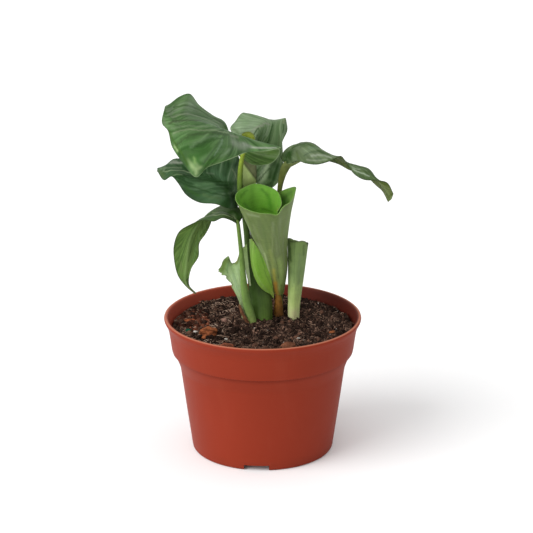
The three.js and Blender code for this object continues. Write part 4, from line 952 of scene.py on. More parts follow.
def make_stalk(name, skin):
    shape = STALKS[name]

    def swell(place, turn):
        grow = 1 + 0.02 * np.sin(7 * turn + 9 * place) - 0.02
        if name in SHEATHED_STALKS:
            # An older sheath wraps the lower half, and its free edge stands a little proud
            away = np.mod(turn - math.pi * (1.15 + 0.9 * place), TURN)
            grow = grow - 0.07 * np.exp(-away * 1.6) * max(0.0, 1 - place * 1.7)
        return grow

    body = tube(shape["rings"], 150, 40, swell)
    points, _, place, around = body
    # Painted shade: the right and back sides are darker than the front left, away from the light
    turned = 0.5 + 0.5 * np.cos(TURN * around - 0.5)
    colour = mixed(ramp(place, *shape["tones"]), shape["back_tone"], 0.75 * turned * np.clip(place * 9, 0, 1))
    if name == "upper_back":
        # Painted shade above the fold line and a painted shadow along it
        above = (points - FOLD_POINT) @ FOLD_UP
        reach = np.clip((place - FOLD_START) * 10, 0, 1)
        colour = mixed(colour, FOLD_PALE, reach * np.clip(0.5 - above, 0, 1))
        colour = mixed(colour, FOLD_SHADED, reach * np.clip(0.5 + above, 0, 1))
        colour = mixed(colour, FOLD_SHADOW, 0.7 * reach * np.exp(-((above / 0.5) ** 2)))
    colour = colour * (1 + 0.12 * rumple(points, 5, 11, 2))[:, None]
    finished_stem("stem_" + name, "stalk_" + name, "stalk_green", body, colour, skin)


# Rolled new leaf: its rim and the turn round its foot at which each point of the rim stands, in degrees

ROLL_FOOT, FOOT_RADIUS, FOOT_OPENING = (8.2, 8.8, 83), 1.7, 1.6
# The funnel's lines swell outward low down and draw in at the waist and above, more so on the right
LOW_SWELL, WAIST_DRAWN, HIGH_DRAWN, RIGHT_DRAWN = 0.3, 0.9, 0.8, 0.45
ROLL_TURNS = [-40, -5, 35, 65, 95, 125, 155, 180, 210, 240, 270, 300, 323, 345, 360, 372, 390, 408]
ROLL_RIM = [
    (7.9, -10, 134.6), (9.8, -5, 137), (7.8, 1.5, 141.6), (2.7, 3.6, 143.9), (-4.1, 4, 145.2),
    (-9.9, 2, 143.6), (-13.1, -1, 142), (-14.1, -5, 140.2), (-12.4, -9.5, 137.9), (-7.6, -13, 136.1),
    (-2.1, -14.5, 134.9), (3.9, -13.9, 134.2), (7.7, -12.9, 133.5), (10.5, -11.2, 137), (14.9, -6.9, 139.3),
    (17.3, -2.6, 145), (13.6, 2.6, 143.2), (7.4, 5.6, 139.6),
]


def rolled_grid(along, across):
    rails = []
    for k, (degrees, rim) in enumerate(zip(ROLL_TURNS, ROLL_RIM)):
        turn, rim = math.radians(degrees), np.array(rim)
        outward = np.array([math.cos(turn), math.sin(turn), 0])
        foot = np.array(ROLL_FOOT) + outward * (FOOT_RADIUS + FOOT_OPENING * k / (len(ROLL_RIM) - 1))
        slim = RIGHT_DRAWN * max(0.0, math.cos(turn))
        low = foot * 0.75 + rim * 0.25 + outward * LOW_SWELL
        waist = (foot + rim) / 2 - outward * (WAIST_DRAWN + slim)
        high = foot * 0.25 + rim * 0.75 - outward * (HIGH_DRAWN + slim)
        rails.append([foot, low, waist, high, rim])
    return surface(rails, along, across)


# Loose sheaths: rails side by side, from foot to top

SHEATHS = {
    "cut_stub": [
        [(15.5, 9.7, 62.5), (15.3, 9.7, 75.7), (15.1, 10.2, 89.7), (15.1, 10.8, 101.9), (15.7, 11.2, 110.4)],
        [(13.9, 7.5, 62.7), (13.9, 7.2, 75.9), (13.9, 7, 90.7), (13.8, 6.6, 103.2), (13.6, 6.5, 115.2)],
        [(16.2, 4.9, 62.5), (16.3, 4.6, 75.7), (16.9, 3.8, 90.7), (17.7, 3.2, 103.2), (18.8, 3, 114.6)],
        [(19.1, 7.5, 62.7), (19.5, 7.2, 75.9), (21.2, 7, 89.5), (22.8, 6.6, 102.6), (24, 6.5, 112.6)],
        [(17.9, 9.7, 62.5), (18.2, 9.7, 75.7), (19.1, 10.4, 89.6), (20.2, 11.2, 102), (21.3, 11.7, 112.4)],
    ],
    "torn_sheath": [
        [(-10.9, -1, 72.1), (-12.5, -1.2, 81.6), (-15.6, -1.6, 88.5), (-18, -2.4, 94), (-20.6, -3.4, 97.4),
         (-24.8, -2.4, 99.6)],
        [(-9.9, -0.3, 72), (-11.4, -0.4, 81.1), (-13.9, -0.8, 89.6), (-16, -1.4, 96), (-18.1, -2.6, 102.5),
         (-18.6, -1.4, 107.6)],
        [(-9, 0.2, 71.9), (-10.5, 0.1, 81), (-12.6, -0.2, 89.5), (-14.4, -0.4, 95.7), (-15.7, -0.7, 100.3),
         (-16.3, -0.8, 103.6)],
        [(-8.2, 0.5, 71.8), (-9.6, 0.4, 80.9), (-11.6, 0.1, 89.4), (-12.9, -0.2, 96.7), (-13.6, -0.4, 101.2),
         (-14, -0.5, 104.1)],
        [(-7.4, 0.7, 71.7), (-8.7, 0.7, 80.7), (-10.5, 0.4, 89.2), (-11.5, 0, 97.7), (-11.9, -0.2, 103.3),
         (-12.1, -0.4, 109.1)],
    ],
    "sheath_wing": [
        [(-6.9, -0.2, 90), (-8.5, -0.5, 96.3), (-9.6, -0.7, 103.6), (-10.4, -0.9, 112.4)],
        [(-6.6, 0.1, 89.9), (-7.6, 0.2, 96.7), (-8.6, 0.1, 104.2), (-9.4, -0.2, 113)],
        [(-6.3, 0.4, 89.9), (-7, 0.7, 97.1), (-7.8, 0.7, 104.8), (-8.5, 0.4, 113.7)],
    ],
    "dry_scale": [
        [(-9.1, -1.6, 70.4), (-10.3, -1.7, 72.4), (-11.9, -1.8, 75.9), (-12.8, -2, 80.2)],
        [(-8.2, -3.8, 70.6), (-9.6, -3.6, 72.7), (-11.2, -3.3, 76.2), (-12.5, -2.8, 80.6)],
        [(-7, -4.3, 70.8), (-8.3, -4.4, 73), (-10.2, -4.1, 76.6), (-11.9, -3.7, 80.8)],
    ],
    "rolled_leaf_flap": [
        [(5.8, 6.8, 80.6), (4.2, 3.9, 83.7), (0.6, 1.6, 86.9), (-2.2, 0, 90.5), (-4.6, -0.6, 96.2),
         (-6, -0.4, 102.4), (-6.6, -0.4, 109), (-6.8, -0.6, 116.2)],
        [(5.8, 5.9, 81), (4.4, 3, 85.7), (2.2, 0.4, 90.9), (-0.3, -1, 95.3), (-2.4, -1.9, 100.5),
         (-4.2, -2.3, 106.1), (-5.4, -2.2, 111.6), (-6.4, -1.8, 116.6)],
        [(6, 5.6, 81.6), (5.4, 3.4, 87.4), (4.3, 1.6, 94.1), (2.8, 0.4, 99.5), (0.8, -0.8, 104.7),
         (-1.6, -1.8, 109.8), (-3.6, -2.3, 113.5), (-5.6, -2.5, 116.8)],
    ],
}


def sheath_grid(name, rows, columns, ragged=0.0, seed=1):
    """The sheath's grid, with a ragged top edge where it was torn or cut, and its two coordinates."""
    v, c = np.linspace(0, 1, rows), np.linspace(0, 1, columns)
    grid = surface(SHEATHS[name], v, c)
    if ragged:
        jag = ridges(c * 30, c * 0, 9, seed, 4)
        fade = (v**8)[:, None, None]
        grid = grid + fade * unit(np.gradient(grid, axis=0)[-1]) * (ragged * (jag - jag.max()))[:, None]
    return grid, *np.meshgrid(v, c, indexing="ij")


def make_sheet(name, node, slot, grid, v, c, thickness, skins, outer, inner, edge, raised=0.0):
    """A sheath or rolled leaf: outer and inner are its painted colours, edge the tone of its rim."""
    points, faces, side = thin_body(grid, thickness, raised, np.negative(raised))
    coats = streaked(outer, grid, node, "upper"), streaked(inner, grid, node, "under")
    colour = np.concatenate([coat.reshape(-1, 3) for coat in coats])
    rim = np.zeros(v.shape, bool)
    rim[[0, -1]], rim[:, [0, -1]] = True, True
    both = np.tile(rim.ravel(), 2)
    colour[both] = colour[both] * 0.5 + tone(*edge) * 0.5
    uv = np.tile(np.stack([c, v], -1).reshape(-1, 2), (2, 1))
    finished(new_piece(name, points, faces, skins, side, uv, colour), slot, node)


# Pot and soil: radius and height along the pot's outside, inside and underside

SOIL_EDGE_HEIGHT = 68
POT_OUTSIDE = [
    (37.1, 0), (37.5, 0.1), (37.8, 0.5), (38, 1.4), (38.6, 5.7), (41.4, 25.9), (43.6, 42.5), (43.9, 44.6),
    (44.1, 45.8), (44.5, 47.2), (45.1, 48.9), (45.9, 51), (46.6, 52.9), (46.95, 54), (47, 54.35),
    (47.3, 54.45), (47.9, 54.45), (48.25, 54.65), (48.4, 55.2), (48.6, 56.2), (49.5, 62.9), (50, 66),
    (50.4, 67.6), (51, 69.3), (51.6, 70.5), (52.1, 71.4), (52.4, 72.1), (52.5, 72.7), (52.35, 73.2),
    (52, 73.5), (51.5, 73.6), (51, 73.5),
]
POT_INSIDE = [
    (50.6, 73.2), (50.3, 72.6), (50.1, 72), (49.5, 69.6), (48.7, 66), (47, 56.6), (43.4, 47.6), (42.8, 45.4),
    (40.1, 25.9), (37.4, 5.6), (36.6, 4.7), (35, 4.6), (0.01, 4.6),
]
POT_BELOW = [(0.01, 3), (35.2, 3), (35.8, 2.7), (35.9, 0.4), (36.1, 0.05), (36.5, 0)]
# The soil's side, up to where its open top begins
SOIL_WALL = [(36.2, 5.2), (39.7, 25.9), (42.3, 45.4), (42.9, 47.6), (46.5, 56.6), (47.5, 62), (47.8, 66.9)]


def soil_height(x, y):
    """The soil's rough height: a low mound about the stalks, and slight waves."""
    mound = 2 * np.exp(-((x + 3) ** 2 + (y - 1) ** 2) / (2 * 18**2))
    crumbs = np.sin(0.55 * x + 1.3) * np.sin(0.62 * y) + np.sin(0.31 * x - 0.4 * y)
    return SOIL_EDGE_HEIGHT + mound + 0.35 * crumbs


def subdivided(profile, steps):
    """More points along a profile, without rounding its long straight runs."""
    out = []
    for (r0, z0), (r1, z1) in zip(profile, profile[1:]):
        out += [(r0 + (r1 - r0) * k / steps, z0 + (z1 - z0) * k / steps) for k in range(steps)]
    return out + [profile[-1]]


def lathe(profile, sides):
    """Points on the turned profile, ring by ring."""
    turn = np.linspace(0, TURN, sides, endpoint=False)
    r, z = np.array(profile, float).T[..., None]
    return np.stack([r * np.cos(turn), r * np.sin(turn), z + 0 * turn], -1).reshape(-1, 3)


# Geometry node trees


class Tree(Graph):
    """A geometry node tree under construction, with named inputs."""

    def __init__(self, name):
        self.group = bpy.data.node_groups.new(name, "GeometryNodeTree")
        for way in ("INPUT", "OUTPUT"):
            self.group.interface.new_socket("Geometry", in_out=way, socket_type="NodeSocketGeometry")
        super().__init__(self.group)
        self.host = self.new("NodeGroupInput").outputs

    def add(self, kind, settings=None, **inputs):
        return self.new("GeometryNode" + kind, settings, **inputs).outputs[0]

    def input(self, name, kind, value):
        socket = self.group.interface.new_socket(name, in_out="INPUT", socket_type="NodeSocket" + kind)
        socket.default_value = value
        return self.host[name]

    def random(self, low, high, seed):
        kind = "FLOAT_VECTOR" if isinstance(low, tuple) else "FLOAT"
        node = self.new("FunctionNodeRandomValue", {"data_type": kind}, Seed=seed)
        shown = [s for s in node.inputs if s.enabled]
        shown[0].default_value, shown[1].default_value = low, high
        return [s for s in node.outputs if s.enabled][0]

    def scaled(self, vector, scale):
        node = self.new("ShaderNodeVectorMath", {"operation": "SCALE"}, Vector=vector, Scale=scale)
        return node.outputs[0]

    def joined(self, *parts):
        node = self.new("GeometryNodeJoinGeometry")
        for part in parts:
            self.join(part, node.inputs[0])
        return node.outputs[0]

    def scattered(self):
        """Points strewn over the host, by the tree's Amount and Seed."""
        amount, seed = self.input("Amount", "Float", 1000.0), self.input("Seed", "Int", 1)
        return self.add("DistributePointsOnFaces", {"distribute_method": "RANDOM"}, Mesh=self.host[0],
                        Density=amount, Seed=seed)

    def finish(self, geometry, material):
        real = self.add("RealizeInstances", Geometry=geometry)
        self.join(self.add("SetMaterial", Geometry=real, Material=material),
                  self.new("NodeGroupOutput").inputs[0])
        return self.group


def grown(host, group, name, **values):
    """Runs a tree on the host piece and returns its result as a plain mesh piece."""
    modifier = host.modifiers.new(group.name, "NODES")
    modifier.node_group = group
    for item in group.interface.items_tree:
        key = item.name.replace(" ", "_").lower()
        if item.item_type == "SOCKET" and item.in_out == "INPUT" and key in values:
            modifier[item.identifier] = values[key]
    bpy.context.view_layer.update()
    ready = host.evaluated_get(bpy.context.evaluated_depsgraph_get())
    mesh = bpy.data.meshes.new_from_object(ready)
    mesh.name = name
    host.modifiers.remove(modifier)
    return linked(name, mesh)


def pierced_pot_tree(material):
    """Cuts the drainage holes through the floor and the notches out of the foot."""
    t = Tree("Drainage")
    holes = t.input("Holes", "Int", 6)
    circle = t.input("Hole circle", "Float", 0.026)
    radius = t.input("Hole radius", "Float", 0.0032)
    notch = t.input("Notch size", "Vector", (0.0134, 0.009, 0.0056))
    foot = t.input("Foot radius", "Float", 0.0379)
    axis = t.input("Pot axis", "Vector", (-POT_LEFT_OF_CENTRE * MM, 0, 0))
    drill = t.add("MeshCylinder", Vertices=40, Radius=radius, Depth=0.02)
    ring = t.add("MeshCircle", Vertices=holes, Radius=circle)
    drills = t.add("InstanceOnPoints", Points=ring, Instance=drill)
    # One notch is nearly in front, and each is turned to face outward
    notch_ring = t.add("Transform", Geometry=t.add("MeshCircle", Vertices=3, Radius=foot),
                       Rotation=(0, 0, math.radians(-95)))
    angle = t.maths("MULTIPLY_ADD", t.add("InputIndex"), TURN / 3, math.radians(-5))
    blocks = t.add("InstanceOnPoints", Points=notch_ring, Instance=t.add("MeshCube", Size=notch),
                   Rotation=t.new("ShaderNodeCombineXYZ", Z=angle).outputs[0])
    tools = t.add("RealizeInstances", Geometry=t.joined(drills, blocks))
    cut = t.new("GeometryNodeMeshBoolean", {"operation": "DIFFERENCE", "solver": "EXACT"})
    t.join(t.host[0], cut.inputs[0])
    t.join(t.add("Transform", Geometry=tools, Translation=axis), cut.inputs[1])
    return t.finish(cut.outputs[0], material)


def crumb_tree(name, material, splinters=False):
    """Scatters small uneven lumps or splinters over a surface."""
    t = Tree(name)
    spots = t.scattered()
    size = t.input("Size", "Float", 0.0005)
    if splinters:
        lump = t.add("MeshCone", Vertices=4, Radius_Top=0.4, Radius_Bottom=1.0, Depth=1.4)
        stretch = t.random((0.5, 0.4, 0.3), (2.6, 0.9, 0.7), 3)
    else:
        lump = t.add("MeshIcoSphere", Radius=1.0, Subdivisions=1)
        stretch = t.random((0.6, 0.5, 0.4), (1.5, 1.1, 0.9), 3)
    # Most crumbs are small, and a few are large
    scale = t.maths("MULTIPLY", t.maths("POWER", t.random(0.45, 1.25, 4), 2.0), size)
    lumps = t.add("InstanceOnPoints", Points=spots, Instance=lump, Scale=t.scaled(stretch, scale),
                  Rotation=t.random((0, 0, 0), (6.28, 6.28, 6.28), 5))
    tinted = t.add("StoreNamedAttribute", {"domain": "INSTANCE"}, Geometry=lumps, Name="tint",
                   Value=t.random(0.0, 1.0, 6))
    uneven = t.new("ShaderNodeTexNoise", Scale=1400.0, Detail=1.0).outputs["Color"]
    push = t.scaled(t.maths("SUBTRACT", uneven, (0.5, 0.5, 0.5), vector=True), size)
    moved = t.add("SetPosition", Geometry=t.add("RealizeInstances", Geometry=tinted), Offset=push)
    return t.finish(t.add("SetShadeSmooth", Geometry=moved, Shade_Smooth=False), material)


def fibre_tree(name, material):
    """Scatters short bent fibres over a surface."""
    t = Tree(name)
    spots = t.scattered()
    length = t.input("Length", "Float", 0.005)
    thickness = t.input("Thickness", "Float", 0.0001)
    bend = t.add("CurveQuadraticBezier", Resolution=6, Start=(-0.5, 0, 0), Middle=(0.05, 0.3, 0.22),
                 End=(0.5, 0, 0.02))
    lines = t.add("InstanceOnPoints", Points=spots, Instance=bend,
                  Rotation=t.random((-0.35, -0.3, 0), (0.35, 0.3, 6.28), 7),
                  Scale=t.scaled(t.random((0.4, 0.3, 0.3), (1.2, 1.3, 1.2), 8), length))
    section = t.add("CurvePrimitiveCircle", Resolution=4, Radius=thickness)
    hair = t.add("CurveToMesh", Curve=t.add("RealizeInstances", Geometry=lines), Profile_Curve=section,
                 Fill_Caps=True)
    return t.finish(hair, material)


# Settings


class PotSettings(bpy.types.PropertyGroup):
    holes: bpy.props.IntProperty(
        name="Drainage holes", description="Holes through the pot's floor", default=6, min=3, max=12)
    hole_radius: bpy.props.FloatProperty(
        name="Hole radius", description="Radius of each drainage hole", default=0.0032, unit="LENGTH")
    colour: bpy.props.FloatVectorProperty(
        name="Plastic colour", description="Colour of the moulded plastic", subtype="COLOR", size=3,
        default=tuple(tone(154, 55, 33)))


class SoilSettings(bpy.types.PropertyGroup):
    crumbs: bpy.props.FloatProperty(
        name="Crumbs", description="Crumbs on a square metre of soil", default=1.0e6)
    crumb_size: bpy.props.FloatProperty(
        name="Crumb size", description="Half the width of a usual crumb", default=0.0006, unit="LENGTH")
    fibres: bpy.props.FloatProperty(
        name="Fibres", description="Fibres on a square metre of soil", default=4.5e4)
    dark: bpy.props.FloatVectorProperty(
        name="Damp tone", description="Colour of damp peat", subtype="COLOR", size=3,
        default=tuple(tone(40, 29, 24)))
    light: bpy.props.FloatVectorProperty(
        name="Dry tone", description="Colour of drier peat", subtype="COLOR", size=3,
        default=tuple(tone(150, 118, 100)))


class LeafSettings(bpy.types.PropertyGroup):
    thickness: bpy.props.FloatProperty(
        name="Blade thickness", description="Thickness of an open blade", default=0.00045, unit="LENGTH")
    vein_depth: bpy.props.FloatProperty(
        name="Vein depth", description="Relief of the fine side veins", default=0.00012, unit="LENGTH")
    gloss: bpy.props.FloatProperty(
        name="Roughness", description="Roughness of the upper side", default=0.42, min=0, max=1)


class StageSettings(bpy.types.PropertyGroup):
    key_strength: bpy.props.FloatProperty(
        name="Key light", description="Strength of the wide light at the left", default=2.3)
    fill_strength: bpy.props.FloatProperty(
        name="Fill light", description="Strength of the soft light in front", default=0.8)
    sky: bpy.props.FloatProperty(
        name="Surround", description="Strength of the even light from all round", default=0.8)
    floor_colour: bpy.props.FloatVectorProperty(
        name="Floor colour", description="Colour of the floor", subtype="COLOR", size=3,
        default=(0.93, 0.93, 0.93))


def settings(name):
    return getattr(bpy.context.scene, "plant_" + name)


# Operators

# Where the pot's colour changes and where light and shade are painted on it: heights and distances from its
# axis in metres
RIM_HIGHLIGHT, BAND_CREASE, BAND_EDGE, FOOT = (0.0731, 0.0735), (0.0515, 0.0541), (0.0546, 0.0544), (0.006, 0.0)
INNER_WALL, WALL_SLOPE, WALL_START = (0.0495, 0.0491), 0.26, 0.066


def plastic_skin(plastic):
    """Moulded plastic with fine rings, faint smears, a painted highlight on the rim, painted shade under the
    band, and a painted highlight and painted shade on the inner wall.
    """
    m = Recipe("terracotta plastic", Specular_IOR_Level=0.08, Subsurface_Weight=0.02,
               Subsurface_Radius=(1.0, 0.3, 0.15), Subsurface_Scale=0.002)
    place = m.place()
    broad, fine = m.noise(place, 14.0, 3.0), m.noise(place, 2200.0, 3.0)
    rings = m.noise(m.place((6.0, 6.0, 2600.0)), 1.0, 2.0)
    smears = m.noise(m.place((30.0, 30.0, 9.0)), 1.0, 4.0, 0.65, 0.6)
    here = m.add("TexCoord").outputs["Object"]
    height = m.add("SeparateXYZ", Vector=here).outputs["Z"]
    colour = m.mix(m.range(broad, 0.35, 0.65), 0.95 * plastic, 1.05 * plastic)
    colour = m.mix(m.range(smears, 0.56, 0.78, 0, 0.07), colour, tone(190, 120, 96))
    # A painted highlight along the top of the rim
    colour = m.mix(m.range(height, *RIM_HIGHLIGHT, 0, 0.6), colour, tone(226, 150, 118))
    # Painted shade in the crease under the band's ledge
    band_shade = m.times(m.range(height, *BAND_CREASE), m.range(height, *BAND_EDGE), 0.3)
    colour = m.mix(band_shade, colour, tone(92, 28, 18))
    grime = m.times(m.range(height, *FOOT), m.range(smears, 0.35, 0.6), 0.3)
    colour = m.mix(grime, colour, tone(104, 52, 38))
    # Painted light and shade on the inner wall above the soil: a painted highlight on the left and painted
    # shade on the right
    spot = m.maths("MULTIPLY_ADD", here, (1, 1, 0), (POT_LEFT_OF_CENTRE * MM, 0, 0), vector=True)
    sideways = m.add("SeparateXYZ", Vector=spot).outputs["X"]
    slope = m.times(WALL_SLOPE, m.maths("SUBTRACT", height, WALL_START))
    away = m.maths("SUBTRACT", m.maths("LENGTH", spot, vector=True), slope)
    wall = m.times(m.range(away, *INNER_WALL), m.range(height, 0.060, 0.064))
    colour = m.mix(m.times(wall, m.range(sideways, 0.0, -0.04, 0.0, 0.7)), colour, tone(200, 92, 70))
    colour = m.mix(m.times(wall, m.range(sideways, -0.03, 0.035, 0.0, 0.8)), colour, tone(64, 26, 20))
    m.surface(colour, m.range(smears, 0.3, 0.75, 0.44, 0.58))
    m.bump(rings, 0.04, 0.5)
    m.bump(fine, 0.02)
    return m.material


class PLANT_OT_pot(bpy.types.Operator):
    """Build the moulded pot"""

    bl_idname = "plant.pot"
    bl_label = "Pot"

    def execute(self, context):
        values, sides = settings("pot"), 192
        skin = plastic_skin(np.array(values.colour))
        points = lathe(subdivided(POT_OUTSIDE, 4) + subdivided(POT_INSIDE, 2) + POT_BELOW, sides)
        faces = grid_faces(len(points) // sides + 1, sides, closed=True) % len(points)
        blank = new_piece("pot_blank", points, faces, [skin])
        pot = grown(blank, pierced_pot_tree(skin), "nursery_pot", holes=values.holes,
                    hole_radius=values.hole_radius)
        bpy.data.objects.remove(blank)
        pot.data.polygons.foreach_set("use_smooth", [True] * len(pot.data.polygons))
        pot.data.set_sharp_from_angle(angle=math.radians(35))
        finished(pot, "terracotta_plastic", "pot")
        return {"FINISHED"}


# The soil's open top, and where things are strewn on it: above a height, within a radius, and in the husk's
# patch, which has its middle, its radius and how much it is drawn out to the back and front
SOIL_RADIUS, STREWN_HEIGHT, STREWN_RADIUS = 47.7, 66.5, 47.2
HUSK_X, HUSK_Y, HUSK_RADIUS, HUSK_DRAWN, ROOTS_LEFT_OF = -37.5, 3, 9.5, 0.55, -14


class PLANT_OT_soil(bpy.types.Operator):
    """Build the soil, its crumbs, fibres and grit"""

    bl_idname = "plant.soil"
    bl_label = "Soil"

    def execute(self, context):
        values = settings("soil")
        dark, light = np.array(values.dark), np.array(values.light)
        peat = earthy("peat", dark, 0.5 * light, 320.0, 0.92, 0.5)
        crumb = earthy("peat crumbs", dark, light, 320.0, 0.92, 0.3, tone(84, 56, 44), True)
        # The body: its wall inside the pot, then its top, ring by ring to the middle
        sides, rings = 300, 100
        levels = len(SOIL_WALL) + rings
        radii = np.linspace(SOIL_RADIUS, 0.05, rings)
        flat = lathe([(r, 0) for r in radii], sides)
        x, y = flat[:, 0], flat[:, 1]
        bumps = 0.6 * rumple(flat, 7, 21, 4) + 0.5 * np.abs(rumple(flat, 2.6, 22, 3))
        bumps = bumps * np.clip((SOIL_RADIUS + 0.5 - np.repeat(radii, sides)) / 3, 0.25, 1)
        top = np.stack([x, y, soil_height(x, y) - 0.15 + bumps], -1)
        middle = [[0, 0, 5], [0, 0, float(soil_height(0, 0))]]
        points = np.concatenate([lathe(SOIL_WALL, sides), top, middle])
        under, over = levels * sides, levels * sides + 1
        faces = grid_faces(levels, sides, closed=True).tolist()
        faces += fan(under, 0, sides, False) + fan(over, (levels - 1) * sides, sides, True)
        soil = new_piece("potting_mix", points, faces, [peat], sharp=180)
        # Beds for what is strewn: the open top, the husk's patch and the left side
        strewn = [f for f in faces if min(points[k][2] for k in f) > STREWN_HEIGHT
                  and max(math.hypot(*points[k][:2]) for k in f) < STREWN_RADIUS]
        firsts = [(f, points[f[0]]) for f in strewn]
        patch = [f for f, p in firsts if math.hypot(p[0] - HUSK_X, HUSK_DRAWN * p[1] - HUSK_Y) < HUSK_RADIUS]
        host = new_piece("soil_top", points, strewn, [peat])
        crumbs = grown(host, crumb_tree("Crumbs", crumb), "soil_crumbs", amount=values.crumbs, seed=4,
                       size=values.crumb_size)
        bark = earthy("bark crumbs", tone(44, 31, 25), tone(112, 80, 64), 500.0, 0.85, 0.3, None, True)
        chips = grown(host, crumb_tree("Chips", bark), "bark_crumbs", amount=6e4, seed=9, size=0.0016)
        litter = grown(host, crumb_tree("Litter", crumb, True), "peat_litter", amount=1.25e6, seed=24,
                       size=0.00055)
        husky = new_piece("husk_bed", points, patch, [peat])
        husk = earthy("husk crumbs", tone(66, 38, 28), tone(170, 102, 74), 500.0, 0.85, 0.3, None, True)
        shreds = grown(husky, crumb_tree("Husk", husk), "husk_crumbs", amount=5e5, seed=19, size=0.0014)
        white = earthy("perlite grit", tone(170, 160, 148), tone(232, 226, 216), 900.0, 0.85, 0.2)
        grit = grown(host, crumb_tree("Grit", white), "perlite_grit", amount=1e4, seed=14, size=0.00055)
        hair = earthy("coir", tone(110, 82, 66), tone(214, 180, 156), 200.0, 0.85, 0.1)
        fibres = grown(host, fibre_tree("Fibres", hair), "coir_fibres", amount=values.fibres, seed=6,
                       length=0.0045, thickness=0.0001)
        pale = earthy("fine roots", tone(170, 136, 112), tone(236, 206, 184), 200.0, 0.8, 0.1)
        left = new_piece("root_bed", points, [f for f, p in firsts if p[0] < ROOTS_LEFT_OF], [peat])
        roots = grown(left, fibre_tree("Roots", pale), "fine_roots", amount=6e4, seed=16, length=0.0065,
                      thickness=0.00012)
        for bed in (host, husky, left):
            bpy.data.objects.remove(bed)
        finished(soil, "peat", "soil")
        for piece, slot in ((crumbs, "peat"), (chips, "bark"), (grit, "perlite"), (fibres, "husk"),
                            (shreds, "husk"), (roots, "perlite"), (litter, "peat")):
            finished(piece, slot)
        return {"FINISHED"}


# Loose bits: place on the soil, half sizes, share that is sunk in, turn in degrees, slot, dark and light tone
BITS = {
    "husk_chunk": ((-28.6, -18.6), (5.5, 4.4, 3.3), 0.45, 20, "husk", (60, 30, 20), (188, 112, 70)),
    "husk_shred": ((-39, 3.6), (3.8, 2.6, 1.3), 0.3, -15, "husk", (104, 56, 36), (176, 100, 64)),
    "bark_front": ((-18.5, -37.5), (4, 2.2, 2.1), 0.3, -8, "bark", (84, 46, 34), (186, 112, 82)),
    "bark_front_right": ((13.3, -37), (4.6, 2.4, 2.1), 0.3, 6, "bark", (66, 42, 32), (150, 98, 72)),
    "bark_right": ((36.8, -12.6), (2.2, 1.4, 0.9), 0.3, 40, "husk", (110, 62, 36), (190, 116, 70)),
    "pebble": ((-20.3, 0.3), (1.8, 1.6, 1.5), 0.3, 0, "pebble", (112, 78, 68), (176, 138, 122)),
    "feed_bead": ((-39.4, -11.8), (1.5, 1.3, 1.1), 0.2, 0, "feed_bead", (16, 84, 62), (44, 142, 104)),
    "perlite_left": ((-35.4, -14.4), (1.15, 1, 0.9), 0.3, 0, "perlite", (196, 188, 176), (240, 236, 228)),
    "perlite_front": ((-19.2, -24.4), (1.1, 0.7, 0.7), 0.3, 20, "perlite", (196, 188, 176), (240, 236, 228)),
    "perlite_right": ((18.7, -23.9), (1.05, 0.7, 0.6), 0.3, 0, "perlite", (196, 188, 176), (240, 236, 228)),
}


class PLANT_OT_bits(bpy.types.Operator):
    """Build the larger loose bits on the soil"""

    bl_idname = "plant.bits"
    bl_label = "Loose bits"

    def execute(self, context):
        form = bmesh.new()
        bmesh.ops.create_icosphere(form, subdivisions=4, radius=1)
        ball = np.array([v.co for v in form.verts])
        faces = [[v.index for v in f.verts] for f in form.faces]
        form.free()
        for k, (name, ((x, y), size, sink, degrees, slot, dark, light)) in enumerate(BITS.items()):
            look, grain = (380.0, 0.85, 0.25), (1, 1, 1)
            if slot in ("husk", "bark"):
                fibres = rumple(ball * (0.6, 6, 6), 1.2, k + 50, 2)
                shape = 0.9 + 0.2 * rumple(ball, 1.6, k, 2) + 0.06 * fibres
                grain = (0.35, 2, 2)
            elif slot == "feed_bead":
                shape = 0.96 + 0.03 * rumple(ball, 1.5, k, 2)
                look = (300.0, 0.4, 0.03)
            else:
                shape = 0.9 + 0.12 * rumple(ball, 1.3, k, 2) + 0.05 * rumple(ball, 0.35, k + 50, 2)
            across, along = math.cos(math.radians(degrees)), math.sin(math.radians(degrees))
            turned = np.array([(across, along, 0), (-along, across, 0), (0, 0, 1)])
            solid = (ball * shape[:, None] * np.array(size)) @ turned
            solid = solid + (x, y, float(soil_height(x, y)) + size[2] * (1 - sink))
            skin = earthy(name + " skin", tone(*dark), tone(*light), *look, grain=grain)
            finished(new_piece("loose_" + name, solid, faces, [skin]), slot, name)
        return {"FINISHED"}


class PLANT_OT_leaves(bpy.types.Operator):
    """Build the open blades"""

    bl_idname = "plant.leaves"
    bl_label = "Leaves"

    def execute(self, context):
        values = settings("leaf")
        depth = values.vein_depth * 1000
        skins = [
            leaf_skin("leaf upper side", values.gloss, depth, 62.0, 0.16),
            leaf_skin("leaf underside", 0.55, depth * 1.6, 62.0, 0.18),
            leaf_skin("leaf margin", 0.5, 0.02, 40.0, 0.04),
        ]
        for name in BLADES:
            make_blade(name, values.thickness * 1000, skins)
        return {"FINISHED"}


